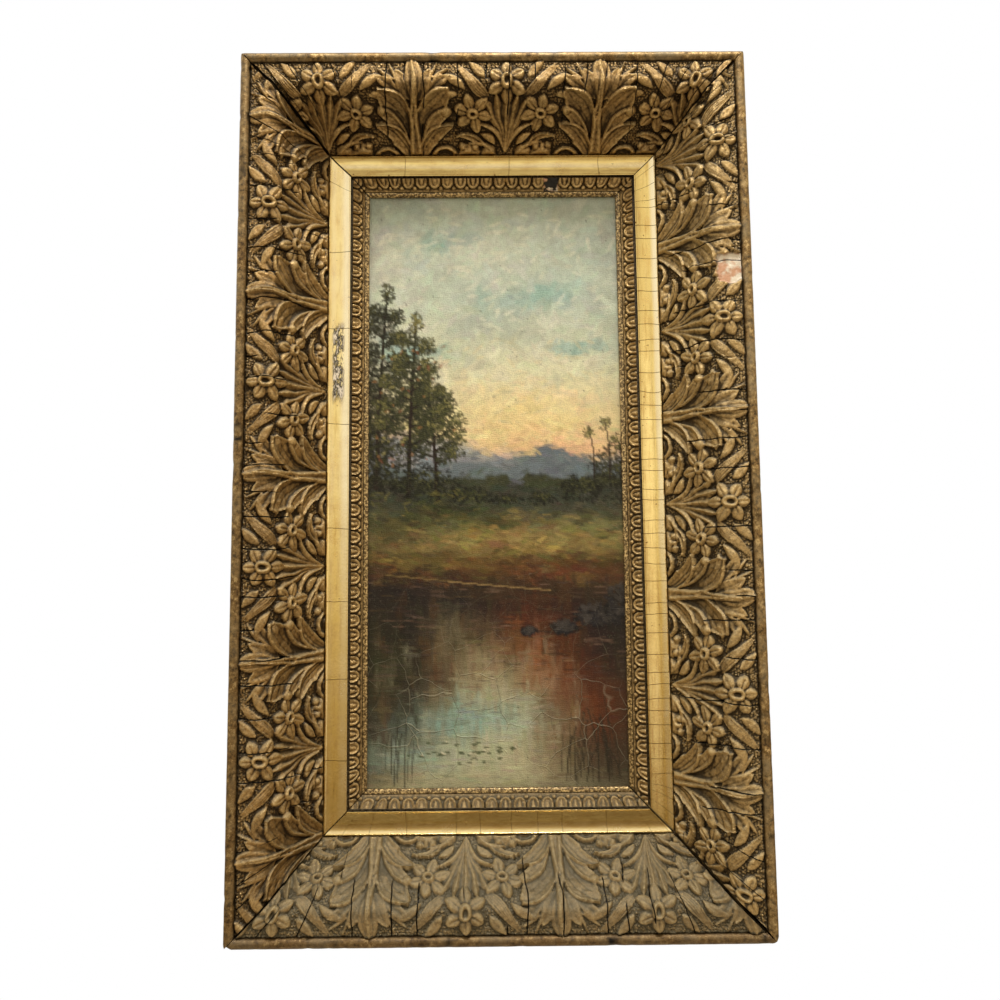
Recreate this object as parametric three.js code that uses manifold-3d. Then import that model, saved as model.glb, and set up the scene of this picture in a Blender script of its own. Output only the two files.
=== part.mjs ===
// A framed oil painting, made to hang upright on a wall.
//
// Millimetres, +Z up. The wall is the plane Y = 0 and the picture faces -Y. The origin is the hanging
// point: the middle of the top rail's flat back, a little below its top edge.
//
// Every rail is drawn as a section in two measures: its inset (plan distance from the outer edge of
// the frame towards the picture) and its height above the wall. The cast ornament lies on a curved bed
// and is drawn in three: s along the rail, t across the bed from the bead, and n out from the bed.
import * as THREE from 'three';
import { mergeVertices } from 'three/addons/utils/BufferGeometryUtils.js';
import Module from 'manifold-3d';

const wasm = await Module();
wasm.setup();

// ---------------------------------------------------------------- driving dimensions
const SIGHT_WIDTH = 190.5; // opening in which the picture shows
const SIGHT_HEIGHT = 444.5;
const MOULDING_WIDTH = 87.6; // outer edge to sight edge
const CANVAS_WIDTH = 203.2;
const CANVAS_HEIGHT = 457.2;
const HANGING_DROP = 35; // top edge down to the hanging point
const GAP = 0.3; // clearance between pieces that touch

const OUTER_WIDTH = SIGHT_WIDTH + 2 * MOULDING_WIDTH;
const OUTER_HEIGHT = SIGHT_HEIGHT + 2 * MOULDING_WIDTH;

// open mitres, as the joints have shrunk: half of each gap, along the rail
const MITRE = { topLeft: 0.6, topRight: 0.3, bottomRight: 0.8, bottomLeft: 0.35 };

// outer rail
const BACK_INSET = 5; // the back is narrower than the bead
const SIDE_TOP = 66; // where the plain side meets the bead's fillet
const BEAD_RADIUS = 3.6;
const BEAD_CENTRE = 72.4;
const RABBET_INSET = 50.6;
const LIP_INSET = 57.2;
const LIP_UNDERSIDE = 24.3;
const LIP_TOP = 26.5;

// ornament: a level frieze, a round shoulder and a long slope down to the lip
const ORNAMENT_INSET = 7.5;
const FRIEZE_HEIGHT = 73.4;
const CAST_THICKNESS = 2.2;
const SINK = 1.1; // how far each leaf is let into the cast strip
const BED_STATIONS = [0, 0.2, 0.32, 0.46, 0.72, 1];
const bed = new THREE.CurvePath();
const shoulderStart = new THREE.Vector2(21, FRIEZE_HEIGHT);
const shoulderEnd = new THREE.Vector2(32.6, 61.8);
const slopeEnd = new THREE.Vector2(56.6, 30.2);
bed.add(new THREE.LineCurve(new THREE.Vector2(ORNAMENT_INSET, FRIEZE_HEIGHT), shoulderStart));
bed.add(new THREE.QuadraticBezierCurve(shoulderStart, new THREE.Vector2(25.6, FRIEZE_HEIGHT), shoulderEnd));
bed.add(new THREE.QuadraticBezierCurve(shoulderEnd, new THREE.Vector2(42.4, 45.5), slopeEnd));

// gilded liner
const LINER_OUTER = 57.6;
const LINER_FLANGE = 51; // reaches behind the outer rail's lip
const LINER_BACK = 12;
const LINER_TOP = 32;
const HOLLOW_OUTER = 58.6;
const HOLLOW_INNER = 73.3;
const HOLLOW_DEPTH = 1.7;
const QUIRK_OUTER = 74.2;
const QUIRK_INNER = 74.9;
const FILLET_OUTER = 84.3;
const SIGHT_TOP = 24.8;
const PICTURE_RABBET = 80.8;

// egg strip at the sight
const EGG_STRIP_THICKNESS = 1.2;
const EGG_PITCH = 10.1;
const eggBed = new THREE.CurvePath();
eggBed.add(new THREE.LineCurve(new THREE.Vector2(75.3, 30.3), new THREE.Vector2(84, 25.6)));

// picture
const PICTURE_FACE = 22; // front of the canvas above the wall
const CANVAS_THICKNESS = 1;
const STRETCHER_WIDTH = 38;
const STRETCHER_BACK = 3.2;
const STRETCHER_FRONT = PICTURE_FACE - CANVAS_THICKNESS - GAP;

// the four rails: length, reach from the frame's centre, turn about Y, mitre gap at each end, and the
// ornament's repeat with the place of one flower spray on the rail
const RAILS = [
  { side: 'top', length: OUTER_WIDTH, reach: OUTER_HEIGHT / 2, turn: 0,
    startGap: MITRE.topLeft, endGap: MITRE.topRight, pitch: 136.6, spray: 10 },
  { side: 'right', length: OUTER_HEIGHT, reach: OUTER_WIDTH / 2, turn: Math.PI / 2,
    startGap: MITRE.topRight, endGap: MITRE.bottomRight, pitch: 130.2, spray: 18.5 },
  { side: 'bottom', length: OUTER_WIDTH, reach: OUTER_HEIGHT / 2, turn: Math.PI,
    startGap: MITRE.bottomRight, endGap: MITRE.bottomLeft, pitch: 127, spray: 23.8 },
  { side: 'left', length: OUTER_HEIGHT, reach: OUTER_WIDTH / 2, turn: -Math.PI / 2,
    startGap: MITRE.bottomLeft, endGap: MITRE.topLeft, pitch: 129, spray: 68.2 },
];

// damage: a lost piece of the cast frieze, two lost eggs and a chipped corner
const LOST_PATCH = { side: 'right', from: -157, to: -139, across: 16 };
const LOST_EGGS = { side: 'top', from: 40, to: 51 };
const CORNER_CHIP = { side: 'bottom', depth: 5 };

// ---------------------------------------------------------------- finishes
const finish = (color, roughness, metalness) =>
  new THREE.MeshStandardMaterial({ color, roughness, metalness, flatShading: true });
const railWood = finish('#7a6138', 0.6, 0.3);
const bronzedCompo = finish('#8f7346', 0.5, 0.35);
const burnishedGold = finish('#d6a548', 0.25, 0.9);
const eggCompo = finish('#7d6142', 0.5, 0.3);
const paintedCanvas = finish('#7f7d64', 0.45, 0);
const pineBar = finish('#b89c70', 0.75, 0);

// ---------------------------------------------------------------- solids and booleans
function solidOf(geometry) {
  geometry.deleteAttribute('normal');
  geometry.deleteAttribute('uv');
  const merged = mergeVertices(geometry);
  const vertProperties = Float32Array.from(merged.attributes.position.array);
  const triVerts = Uint32Array.from(merged.index.array);
  return new wasm.Manifold(new wasm.Mesh({ numProp: 3, vertProperties, triVerts }));
}

function geometryOf(solid) {
  const mesh = solid.getMesh();
  const geometry = new THREE.BufferGeometry();
  geometry.setAttribute('position', new THREE.BufferAttribute(Float32Array.from(mesh.vertProperties), 3));
  geometry.setIndex(new THREE.BufferAttribute(Uint32Array.from(mesh.triVerts), 1));
  geometry.computeVertexNormals();
  return geometry;
}

// the volume is negative where the faces point in, and then every face is turned round
function facedOutward(points, faces) {
  const product = new THREE.Vector3();
  let volume = 0;
  for (const [a, b, c] of faces) {
    volume += product.crossVectors(points[b], points[c]).dot(points[a]);
  }
  const turned = volume < 0 ? faces.map(([a, b, c]) => [a, c, b]) : faces;
  const geometry = new THREE.BufferGeometry();
  geometry.setFromPoints(points);
  geometry.setIndex(turned.flat());
  return geometry;
}

// ---------------------------------------------------------------- rails
// A section point (inset, height) at a place s along a rail, in the frame's upright plane.
const atSection = (rail, s, inset, height) => new THREE.Vector3(s, -height, rail.reach - inset);

// A bar with this section, cut at both ends on the mitre.
function mitredBar(rail, section) {
  const shape = new THREE.Shape(section.map(([inset, height]) => new THREE.Vector2(inset, height)));
  const bar = new THREE.ExtrudeGeometry(shape, { depth: 1, steps: 1, bevelEnabled: false });
  const corners = bar.attributes.position;
  for (let k = 0; k < corners.count; k += 1) {
    const inset = corners.getX(k);
    const atStart = corners.getZ(k) > 0.5;
    const reach = rail.length / 2 - inset - (atStart ? rail.startGap : rail.endGap);
    const point = atSection(rail, atStart ? -reach : reach, inset, corners.getY(k));
    corners.setXYZ(k, point.x, point.y, point.z);
  }
  return bar;
}

// The point of a bed's curve at the part u of its length, moved out along its normal by n.
function offBed(curve, u, n) {
  const point = curve.getPointAt(Math.min(Math.max(u, 0), 1));
  const along = curve.getTangentAt(Math.min(Math.max(u, 0), 1));
  const beyond = (u - Math.min(Math.max(u, 0), 1)) * curve.getLength();
  return [point.x + along.x * beyond - along.y * n, point.y + along.y * beyond + along.x * n];
}

const bedLine = (curve, stations, n) => stations.map((u) => offBed(curve, u, n));

function railSection() {
  const bead = [];
  const steps = 9;
  const sweep = (7 / 6) * Math.PI;
  for (let k = 0; k <= steps; k += 1) {
    const angle = (sweep * k) / steps;
    bead.push([BEAD_RADIUS * (1 + Math.cos(angle)), BEAD_CENTRE + BEAD_RADIUS * Math.sin(angle)]);
  }
  return [
    [BACK_INSET, 0], [RABBET_INSET, 0], [RABBET_INSET, LIP_UNDERSIDE], [LIP_INSET, LIP_UNDERSIDE],
    [LIP_INSET, LIP_TOP],
    ...bedLine(bed, BED_STATIONS, -CAST_THICKNESS - GAP).reverse(),
    [2 * BEAD_RADIUS, FRIEZE_HEIGHT - CAST_THICKNESS - GAP],
    ...bead,
    [0.6, SIDE_TOP + 1], [1.6, SIDE_TOP],
  ];
}

function linerSection() {
  const hollow = [];
  const steps = 8;
  for (let k = 0; k <= steps; k += 1) {
    const u = k / steps;
    const inset = HOLLOW_INNER + (HOLLOW_OUTER - HOLLOW_INNER) * u;
    hollow.push([inset, LINER_TOP + 0.8 * (1 - u) - HOLLOW_DEPTH * 4 * u * (1 - u)]);
  }
  const [from, to] = bedLine(eggBed, [0, 1], -EGG_STRIP_THICKNESS - GAP);
  const slope = (to[1] - from[1]) / (to[0] - from[0]);
  const seat = (inset) => from[1] + slope * (inset - from[0]);
  return [
    [LINER_FLANGE, LINER_BACK], [PICTURE_RABBET, LINER_BACK], [PICTURE_RABBET, PICTURE_FACE + GAP],
    [MOULDING_WIDTH, PICTURE_FACE + GAP], [MOULDING_WIDTH, SIGHT_TOP],
    [FILLET_OUTER, SIGHT_TOP + 0.6], [FILLET_OUTER, seat(FILLET_OUTER)],
    [QUIRK_INNER, seat(QUIRK_INNER)], [QUIRK_OUTER, seat(QUIRK_INNER)], [QUIRK_OUTER, LINER_TOP + 0.6],
    ...hollow,
    [LINER_OUTER, LINER_TOP - 0.2], [LINER_OUTER, LIP_UNDERSIDE - GAP], [LINER_FLANGE, LIP_UNDERSIDE - GAP],
  ];
}

function stretcherSection() {
  const outer = (OUTER_WIDTH - CANVAS_WIDTH) / 2;
  const relief = 2; // the bar falls away from the canvas towards its inner edge
  return [
    [outer, STRETCHER_BACK], [outer + STRETCHER_WIDTH, STRETCHER_BACK],
    [outer + STRETCHER_WIDTH, STRETCHER_FRONT - relief],
    [outer + 8, STRETCHER_FRONT], [outer, STRETCHER_FRONT],
  ];
}

// ---------------------------------------------------------------- cast leaves, petals and eggs
// A place (s, t, n) on a bed, as a point in the frame's upright plane.
function onBed(rail, curve, s, t, n) {
  const [inset, height] = offBed(curve, t / curve.getLength(), n);
  return atSection(rail, s, inset, height);
}

// A leaf blade. Its centre line runs from start through a control point to end, each an [s, t] pair.
// Each ring across it is a keel between two sunk edges, and both ends come to a point.
function blade(rail, curve, start, via, end, rings) {
  const line = new THREE.QuadraticBezierCurve(
    new THREE.Vector2(...start), new THREE.Vector2(...via), new THREE.Vector2(...end));
  const place = (at, n) => onBed(rail, curve, at.x, at.y, n);
  const points = [place(line.getPoint(0), -SINK)];
  const faces = [];
  for (const { at, half, keel } of rings) {
    const middle = line.getPoint(at);
    const along = line.getTangent(at);
    const offset = (side) => new THREE.Vector2(middle.x - side * along.y, middle.y + side * along.x);
    points.push(place(offset(-half), -SINK), place(middle, keel), place(offset(half), -SINK));
  }
  const last = points.push(place(line.getPoint(1), -SINK)) - 1;
  for (let j = 0; j < 3; j += 1) {
    const next = (j + 1) % 3;
    faces.push([0, 1 + next, 1 + j], [last, last - 3 + j, last - 3 + next]);
    for (let low = 1; low + 3 < last; low += 3) {
      faces.push([low + j, low + next, low + 3 + next], [low + j, low + 3 + next, low + 3 + j]);
    }
  }
  return solidOf(facedOutward(points, faces));
}

// A flower of six keeled petals round a raised ring with a sunk eye.
function flower(rail, s, t) {
  const count = 6;
  const points = [];
  const circle = (radius, phase, n) => {
    for (let k = 0; k < count; k += 1) {
      const angle = Math.PI / 2 + (2 * Math.PI * (k + phase)) / count;
      points.push(onBed(rail, bed, s + radius * Math.cos(angle), t + radius * Math.sin(angle), n));
    }
  };
  circle(17.2, 0, -SINK); // petal tips
  circle(9.6, 0.5, -SINK); // notches between them
  circle(4.6, 0, 3.9); // top of the ring, where the keels end
  const eye = points.push(onBed(rail, bed, s, t, 1)) - 1;
  const root = points.push(onBed(rail, bed, s, t, -SINK)) - 1;
  const faces = [];
  for (let tip = 0; tip < count; tip += 1) {
    const nextTip = (tip + 1) % count;
    const notch = count + tip;
    const keel = 2 * count + tip;
    const nextKeel = 2 * count + nextTip;
    faces.push([tip, notch, keel], [notch, nextTip, nextKeel], [notch, nextKeel, keel]);
    faces.push([keel, nextKeel, eye], [root, notch, tip], [root, nextTip, notch]);
  }
  return solidOf(facedOutward(points, faces));
}

// One acanthus leaf: a tall stem, a three-lobed tip, three pairs of side lobes and a shell at each foot.
function acanthus(rail, axis) {
  const depth = bed.getLength();
  const leaf = (start, via, end, rings) => blade(rail, bed,
    [axis + start[0], start[1]], [axis + via[0], via[1]], [axis + end[0], end[1]], rings);
  const solids = [
    leaf([0, depth + 6], [0, 40], [0, 2],
      [{ at: 0.12, half: 5.6, keel: 4.6 }, { at: 0.6, half: 3.4, keel: 4 }]),
    leaf([0, 27], [0, 14], [0, -2], [{ at: 0.55, half: 9, keel: 2.8 }]),
  ];
  for (const side of [-1, 1]) {
    solids.push(
      leaf([side * 2, 28], [side * 5, 18], [side * 14.5, 6], [{ at: 0.55, half: 6.5, keel: 3 }]),
      leaf([side * 1, 54], [side * 9, 33], [side * 27, 16], [
        { at: 0.42, half: 8, keel: 3.2 }, { at: 0.72, half: 8.6, keel: 3.6 }]),
      leaf([side * 2, 62], [side * 9, 45], [side * 24.5, 32], [{ at: 0.62, half: 7.6, keel: 5.2 }]),
      leaf([side * 3, depth + 3], [side * 9, 46], [side * 30.5, 44.5], [
        { at: 0.4, half: 7, keel: 4.4 }, { at: 0.7, half: 8.2, keel: 5.2 }]),
      leaf([side * 20, depth + 9], [side * 20, 64], [side * 20, 58], [{ at: 0.5, half: 11, keel: 5 }]),
    );
  }
  return solids;
}

// One flower spray: a fan of reeds, three flowers, two long lance leaves and two drooping leaves.
function spray(rail, axis) {
  const depth = bed.getLength();
  const leaf = (start, via, end, rings) => blade(rail, bed,
    [axis + start[0], start[1]], [axis + via[0], via[1]], [axis + end[0], end[1]], rings);
  const solids = [flower(rail, axis, 14.5)];
  for (const lean of [-1, 0, 1]) {
    solids.push(leaf([lean * 1.5, 67], [lean * 6, 48], [lean * 15, 20], [{ at: 0.6, half: 5.8, keel: 3 }]));
  }
  for (const side of [-1, 1]) {
    solids.push(
      flower(rail, axis + side * 25, 36.5),
      leaf([side * 12, 28], [side * 24, 14], [side * 42, -3], [{ at: 0.42, half: 6.5, keel: 2.9 }]),
      leaf([side * 1, depth + 2], [side * 8, 49], [side * 36, 54], [{ at: 0.55, half: 6.6, keel: 4.6 }]),
    );
  }
  return solids;
}

const union = (solids) => solids.reduce((whole, piece) => whole.add(piece));

// Places along a rail: every pitch from the given one, out to a little past both corners.
function repeats(rail, from, pitch, margin) {
  const limit = rail.length / 2 + margin;
  const first = from - pitch * Math.floor((from + limit) / pitch);
  const places = [];
  for (let s = first; s <= limit; s += pitch) places.push(s);
  return places;
}

// A thin cast strip on a bed. The blank and what stands on it are made too large all round, and the
// room that the strip has, between the bed, its two edges and the mitres, trims them together.
function castStrip(rail, curve, stations, thickness, edges, motifs) {
  const spare = 2;
  const blankRail = { ...rail, startGap: -8 * spare, endGap: -8 * spare };
  const beyond = (spare * 1.5) / curve.getLength();
  const wide = [-beyond, ...stations.slice(1, -1), 1 + beyond];
  const ground = bedLine(curve, wide, 0);
  const under = bedLine(curve, wide, -thickness - spare);
  const blank = solidOf(mitredBar(blankRail, [...under, ...ground.reverse()]));
  const inner = bedLine(curve, stations.slice(1, -1), -thickness);
  const floorAt = (end) => bedLine(curve, [end], -thickness)[0][1];
  const above = FRIEZE_HEIGHT + 20;
  const room = solidOf(mitredBar(rail, [[edges[0], floorAt(0)], ...inner, [edges[1], floorAt(1)],
    [edges[1], above], [edges[0], above]]));
  return union([blank, ...motifs]).intersect(room);
}

// A box that takes away everything on a rail between two places and two insets.
function cutter(rail, from, to, inset0, inset1, height0, height1) {
  const box = new THREE.BoxGeometry(to - from, height1 - height0, inset1 - inset0);
  box.translate((from + to) / 2, -(height0 + height1) / 2, rail.reach - (inset0 + inset1) / 2);
  return solidOf(box);
}

function ornament(rail) {
  const motifs = [
    ...repeats(rail, rail.spray, rail.pitch, 0).flatMap((axis) => spray(rail, axis)),
    ...repeats(rail, rail.spray + rail.pitch / 2, rail.pitch, -20).flatMap((axis) => acanthus(rail, axis)),
  ];
  const strip = castStrip(rail, bed, BED_STATIONS, CAST_THICKNESS, [ORNAMENT_INSET, LIP_INSET], motifs);
  if (rail.side !== LOST_PATCH.side) return strip;
  const { from, to, across } = LOST_PATCH;
  const patch = cutter(rail, from, to, 0, ORNAMENT_INSET + across, FRIEZE_HEIGHT - 4, FRIEZE_HEIGHT + 9);
  return strip.subtract(patch);
}

function eggStrip(rail) {
  const width = eggBed.getLength();
  const reach = rail.length / 2 - MOULDING_WIDTH;
  const count = Math.round((2 * reach) / EGG_PITCH);
  const eggs = [];
  for (let k = 0; k <= count; k += 1) {
    const s = -reach + (2 * reach * k) / count;
    const lost = rail.side === LOST_EGGS.side && s > LOST_EGGS.from && s < LOST_EGGS.to;
    if (lost) continue;
    eggs.push(blade(rail, eggBed, [s, -0.4], [s, 2], [s, width - 0.6], [{ at: 0.5, half: 5.2, keel: 2.7 }]));
  }
  return castStrip(rail, eggBed, [0, 1], EGG_STRIP_THICKNESS, [75.3, 84], eggs);
}

function outerRail(rail) {
  const bar = solidOf(mitredBar(rail, railSection()));
  if (rail.side !== CORNER_CHIP.side) return bar;
  const corner = rail.length / 2;
  return bar.subtract(cutter(rail, corner - CORNER_CHIP.depth, corner, -1, 2, SIDE_TOP, BEAD_CENTRE + 1));
}

// ---------------------------------------------------------------- the assembly
const painting = new THREE.Group();
const centred = new THREE.Group();
centred.position.z = HANGING_DROP - OUTER_HEIGHT / 2;
painting.add(centred);

function addPiece(name, geometry, material, turn = 0) {
  const piece = new THREE.Mesh(geometry, material);
  piece.name = name;
  piece.rotation.y = turn;
  centred.add(piece);
}

for (const rail of RAILS) {
  const add = (name, solid, material) => {
    addPiece(`${name}_${rail.side}`, geometryOf(solid), material, rail.turn);
  };
  add('outer_rail', outerRail(rail), railWood);
  add('cast_ornament', ornament(rail), bronzedCompo);
  add('gilded_liner', solidOf(mitredBar(rail, linerSection())), burnishedGold);
  add('egg_strip', eggStrip(rail), eggCompo);
  add('stretcher_bar', solidOf(mitredBar(rail, stretcherSection())), pineBar);
}

const canvas = new THREE.BoxGeometry(CANVAS_WIDTH, CANVAS_THICKNESS, CANVAS_HEIGHT);
canvas.translate(0, -PICTURE_FACE + CANVAS_THICKNESS / 2, 0);
addPiece('canvas', canvas, paintedCanvas);

export default painting;
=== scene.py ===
"""Dresses the framed oil painting: cast leaves and flowers, gilded liner, egg strips, the picture.

Lengths in the functions are millimetres, and metres where a mesh is made. Every rail is drawn as in
its section: inset is the plan distance from the frame's outer edge towards the picture, height the
distance from the wall. The cast ornament lies on a curved bed and is drawn in three measures: s along
the rail, t across the bed from the bead, n out from the bed.
"""

import math

import bpy
import numpy as np
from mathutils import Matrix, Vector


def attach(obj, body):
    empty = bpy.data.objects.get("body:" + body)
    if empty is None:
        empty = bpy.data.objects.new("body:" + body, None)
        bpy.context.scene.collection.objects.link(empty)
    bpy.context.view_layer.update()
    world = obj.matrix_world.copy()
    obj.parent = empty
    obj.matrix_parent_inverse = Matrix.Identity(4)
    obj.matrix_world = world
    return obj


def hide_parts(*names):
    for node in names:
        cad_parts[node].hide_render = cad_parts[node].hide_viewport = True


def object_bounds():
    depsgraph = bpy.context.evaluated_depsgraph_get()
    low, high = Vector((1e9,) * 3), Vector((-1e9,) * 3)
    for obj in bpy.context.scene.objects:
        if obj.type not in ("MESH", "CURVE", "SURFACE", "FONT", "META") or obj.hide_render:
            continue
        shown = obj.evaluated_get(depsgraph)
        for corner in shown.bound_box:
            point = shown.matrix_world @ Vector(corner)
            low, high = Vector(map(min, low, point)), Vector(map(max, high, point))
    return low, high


bl_info = {
    "name": "Framed oil painting",
    "version": (1, 0, 0),
    "blender": (4, 5, 0),
    "location": "3D View > Sidebar > Painting",
    "description": "Builds a gilded and bronzed picture frame with its landscape in oils",
    "category": "Object",
}

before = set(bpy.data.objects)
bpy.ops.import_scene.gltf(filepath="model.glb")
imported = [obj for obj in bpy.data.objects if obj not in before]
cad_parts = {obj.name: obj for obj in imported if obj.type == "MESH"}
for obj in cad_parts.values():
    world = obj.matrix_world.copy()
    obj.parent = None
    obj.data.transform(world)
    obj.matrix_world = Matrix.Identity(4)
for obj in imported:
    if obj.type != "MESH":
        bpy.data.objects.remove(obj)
CAD_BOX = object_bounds()

# a millimetre in metres
MM = 0.001
SIDES = ("top", "right", "bottom", "left")
# clearance between neighbouring pieces
GAP = 0.3

# the frame's outer size and centre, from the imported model
OUTER_WIDTH = (CAD_BOX[1].x - CAD_BOX[0].x) / MM
OUTER_HEIGHT = (CAD_BOX[1].z - CAD_BOX[0].z) / MM
CENTRE_Z = (CAD_BOX[1].z + CAD_BOX[0].z) / 2 / MM

# the outer rail's section
BACK_INSET = 5.0
SIDE_TOP = 66.0
BEAD_RADIUS = 3.6
BEAD_CENTRE = 72.4
RABBET_INSET = 50.6
LIP_INSET = 57.2
LIP_UNDERSIDE = 24.3
LIP_TOP = 26.5

# the bed of the cast ornament: a level frieze, a round shoulder and a long slope
ORNAMENT_INSET = 7.5
FRIEZE_HEIGHT = 73.4
SHOULDER_START = (21.0, FRIEZE_HEIGHT)
SHOULDER_VIA = (25.6, FRIEZE_HEIGHT)
SHOULDER_END = (32.6, 61.8)
SLOPE_VIA = (42.4, 45.5)
SLOPE_END = (56.6, 30.2)
CAST_THICKNESS = 2.2

# the liner's section
LINER_OUTER = 57.6
LINER_FLANGE = 51.0
LINER_BACK = 12.0
LINER_TOP = 32.0
HOLLOW_OUTER = 58.6
HOLLOW_INNER = 73.3
HOLLOW_DEPTH = 1.0
QUIRK_OUTER = 74.2
QUIRK_INNER = 74.9
FILLET_OUTER = 84.3
SIGHT_INSET = 87.6
SIGHT_TOP = 24.8
PICTURE_RABBET = 80.8
EGG_BED = ((75.3, 30.3), (84.0, 25.6))
EGG_THICKNESS = 1.2

# the picture: its size, the height of the rabbet's face before it, how far under that face its front
# and its back lie, and the side of its cells
CANVAS_WIDTH = 203.2
CANVAS_HEIGHT = 457.2
PICTURE_FACE = 22.0
CANVAS_FRONT = 0.15
CANVAS_BACK = 0.85
CANVAS_CELL = 1.08

# half of each open mitre, along the rail
MITRE = {"top_left": 0.6, "top_right": 0.3, "bottom_right": 0.8, "bottom_left": 0.35}


class Rail:
    """One side of the frame: its length, reach from the centre, turn, mitre gaps and repeat."""

    def __init__(self, side, length, reach, turn, gaps, pitch, spray, seed):
        self.side = side
        self.length = length
        self.reach = reach
        self.cos = math.cos(turn)
        self.sin = math.sin(turn)
        self.start_gap = MITRE[gaps[0]]
        self.end_gap = MITRE[gaps[1]]
        self.pitch = pitch
        self.spray = spray
        self.seed = seed

    def ends(self, inset):
        """Lowest and highest s on the two mitres at an inset: half the length, less inset and gap."""
        half = self.length / 2 - inset
        return -(half - self.start_gap), half - self.end_gap

    def points(self, s, inset, height):
        """Section places as points in metres: the top rail's own plane, turned about Y to its side."""
        across = self.reach - inset
        x = self.cos * s + self.sin * across
        z = self.cos * across - self.sin * s + CENTRE_Z
        return np.stack(np.broadcast_arrays(x, -height, z), axis=-1) * MM


# the last three are the repeat's pitch, the place of a spray along the rail, and a seed
RAILS = (
    Rail("top", OUTER_WIDTH, OUTER_HEIGHT / 2, 0, ("top_left", "top_right"), 136.6, 10.0, 11),
    Rail("right", OUTER_HEIGHT, OUTER_WIDTH / 2, math.pi / 2, ("top_right", "bottom_right"), 130.2, 18.5, 12),
    Rail("bottom", OUTER_WIDTH, OUTER_HEIGHT / 2, math.pi, ("bottom_right", "bottom_left"), 127.0, 23.8, 13),
    Rail("left", OUTER_HEIGHT, OUTER_WIDTH / 2, -math.pi / 2, ("bottom_left", "top_left"), 129.0, 68.2, 14),
)


# ------------------------------------------------------------------ meshes
def linear(colour):
    """Linear RGBA of an sRGB hex colour."""
    parts = [int(colour[k:k + 2], 16) / 255 for k in (1, 3, 5)]
    return [c / 12.92 if c <= 0.04045 else ((c + 0.055) / 1.055) ** 2.4 for c in parts] + [1.0]


def tube(name, rings, attribute=None, sharp=40.0):
    """A closed solid from rings of points, an array (rings, points, 3) in metres.

    Neighbouring rings are joined by quads and the first and last ring are faces. Where the volume
    comes out negative, each ring is turned round, so that the faces point out.
    """
    count, size = rings.shape[:2]
    low = np.arange((count - 1) * size).reshape(count - 1, size)
    turn = np.roll(low, -1, axis=1)
    quads = np.stack([low, turn, turn + size, low + size], axis=-1).reshape(-1, 4)
    flat = rings.reshape(-1, 3)
    a, b, c, d = (flat[quads[:, k]] for k in range(4))
    volume = np.einsum("ij,ij->", np.cross(a, b), c) + np.einsum("ij,ij->", np.cross(a, c), d)
    first = np.arange(size)[::-1]
    last = np.arange(size) + (count - 1) * size
    if volume < 0:
        quads, first, last = quads[:, ::-1], first[::-1], last[::-1]
    mesh = bpy.data.meshes.new(name)
    mesh.vertices.add(len(flat))
    mesh.vertices.foreach_set("co", flat.ravel())
    loops = np.concatenate([quads.ravel(), first, last])
    starts = np.concatenate([np.arange(len(quads)) * 4, [len(quads) * 4, len(quads) * 4 + size]])
    mesh.loops.add(len(loops))
    mesh.loops.foreach_set("vertex_index", loops)
    mesh.polygons.add(len(starts))
    mesh.polygons.foreach_set("loop_start", starts)
    mesh.update(calc_edges=True)
    mesh.validate()
    mesh.polygons.foreach_set("use_smooth", np.ones(len(mesh.polygons), dtype=bool))
    mesh.set_sharp_from_angle(angle=math.radians(sharp))
    if attribute is not None:
        layer = mesh.color_attributes.new("finish", "FLOAT_COLOR", "POINT")
        layer.data.foreach_set("color", attribute.reshape(-1).astype(np.float32))
    return mesh


def add_piece(name, mesh, material, slot, *nodes):
    """Put a finished mesh in the scene, in place of its CAD nodes."""
    piece = bpy.data.objects.new(name, mesh)
    bpy.context.scene.collection.objects.link(piece)
    mesh.materials.append(material)
    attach(piece, "root")
    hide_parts(*nodes)
    return piece


# ------------------------------------------------------------------ noise
NOISE_CELLS = 64


def value_noise(x, y, seed):
    """Smooth noise from -1 to 1: random values at whole numbers, blended by a cubic between them."""
    rng = np.random.default_rng(seed)
    table = rng.uniform(-1, 1, (NOISE_CELLS, NOISE_CELLS))
    xi = np.floor(x).astype(int)
    yi = np.floor(y).astype(int)
    fx = x - xi
    fy = y - yi
    fx = fx * fx * (3 - 2 * fx)
    fy = fy * fy * (3 - 2 * fy)
    x0, x1 = xi % NOISE_CELLS, (xi + 1) % NOISE_CELLS
    y0, y1 = yi % NOISE_CELLS, (yi + 1) % NOISE_CELLS
    low = table[x0, y0] * (1 - fx) + table[x1, y0] * fx
    high = table[x0, y1] * (1 - fx) + table[x1, y1] * fx
    return low * (1 - fy) + high * fy


def layered_noise(x, y, size, seed, octaves=4):
    """Value noise at a size in mm and at halves of it, each octave half as strong as the last."""
    total = np.zeros(np.broadcast(x, y).shape)
    weight = 0.0
    for k in range(octaves):
        scale = 2.0 ** k / size
        total += value_noise(x * scale, y * scale, seed + 7 * k) / 2 ** k
        weight += 1 / 2 ** k
    return total / weight


def smooth(low, high, x):
    """Rises from 0 to 1 between low and high, level at both."""
    u = np.clip((x - low) / (high - low), 0, 1)
    return u * u * (3 - 2 * u)


def blurred(grid, reach):
    """Mean over a square of reach cells each way, from running sums along each axis."""
    for axis in (0, 1):
        pad = [(reach + 1, reach) if k == axis else (0, 0) for k in (0, 1)]
        total = np.cumsum(np.pad(grid, pad, mode="edge"), axis=axis)
        span = 2 * reach + 1
        upper = np.take(total, np.arange(span, total.shape[axis]), axis=axis)
        lower = np.take(total, np.arange(0, total.shape[axis] - span), axis=axis)
        grid = (upper - lower) / span
    return grid


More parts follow.
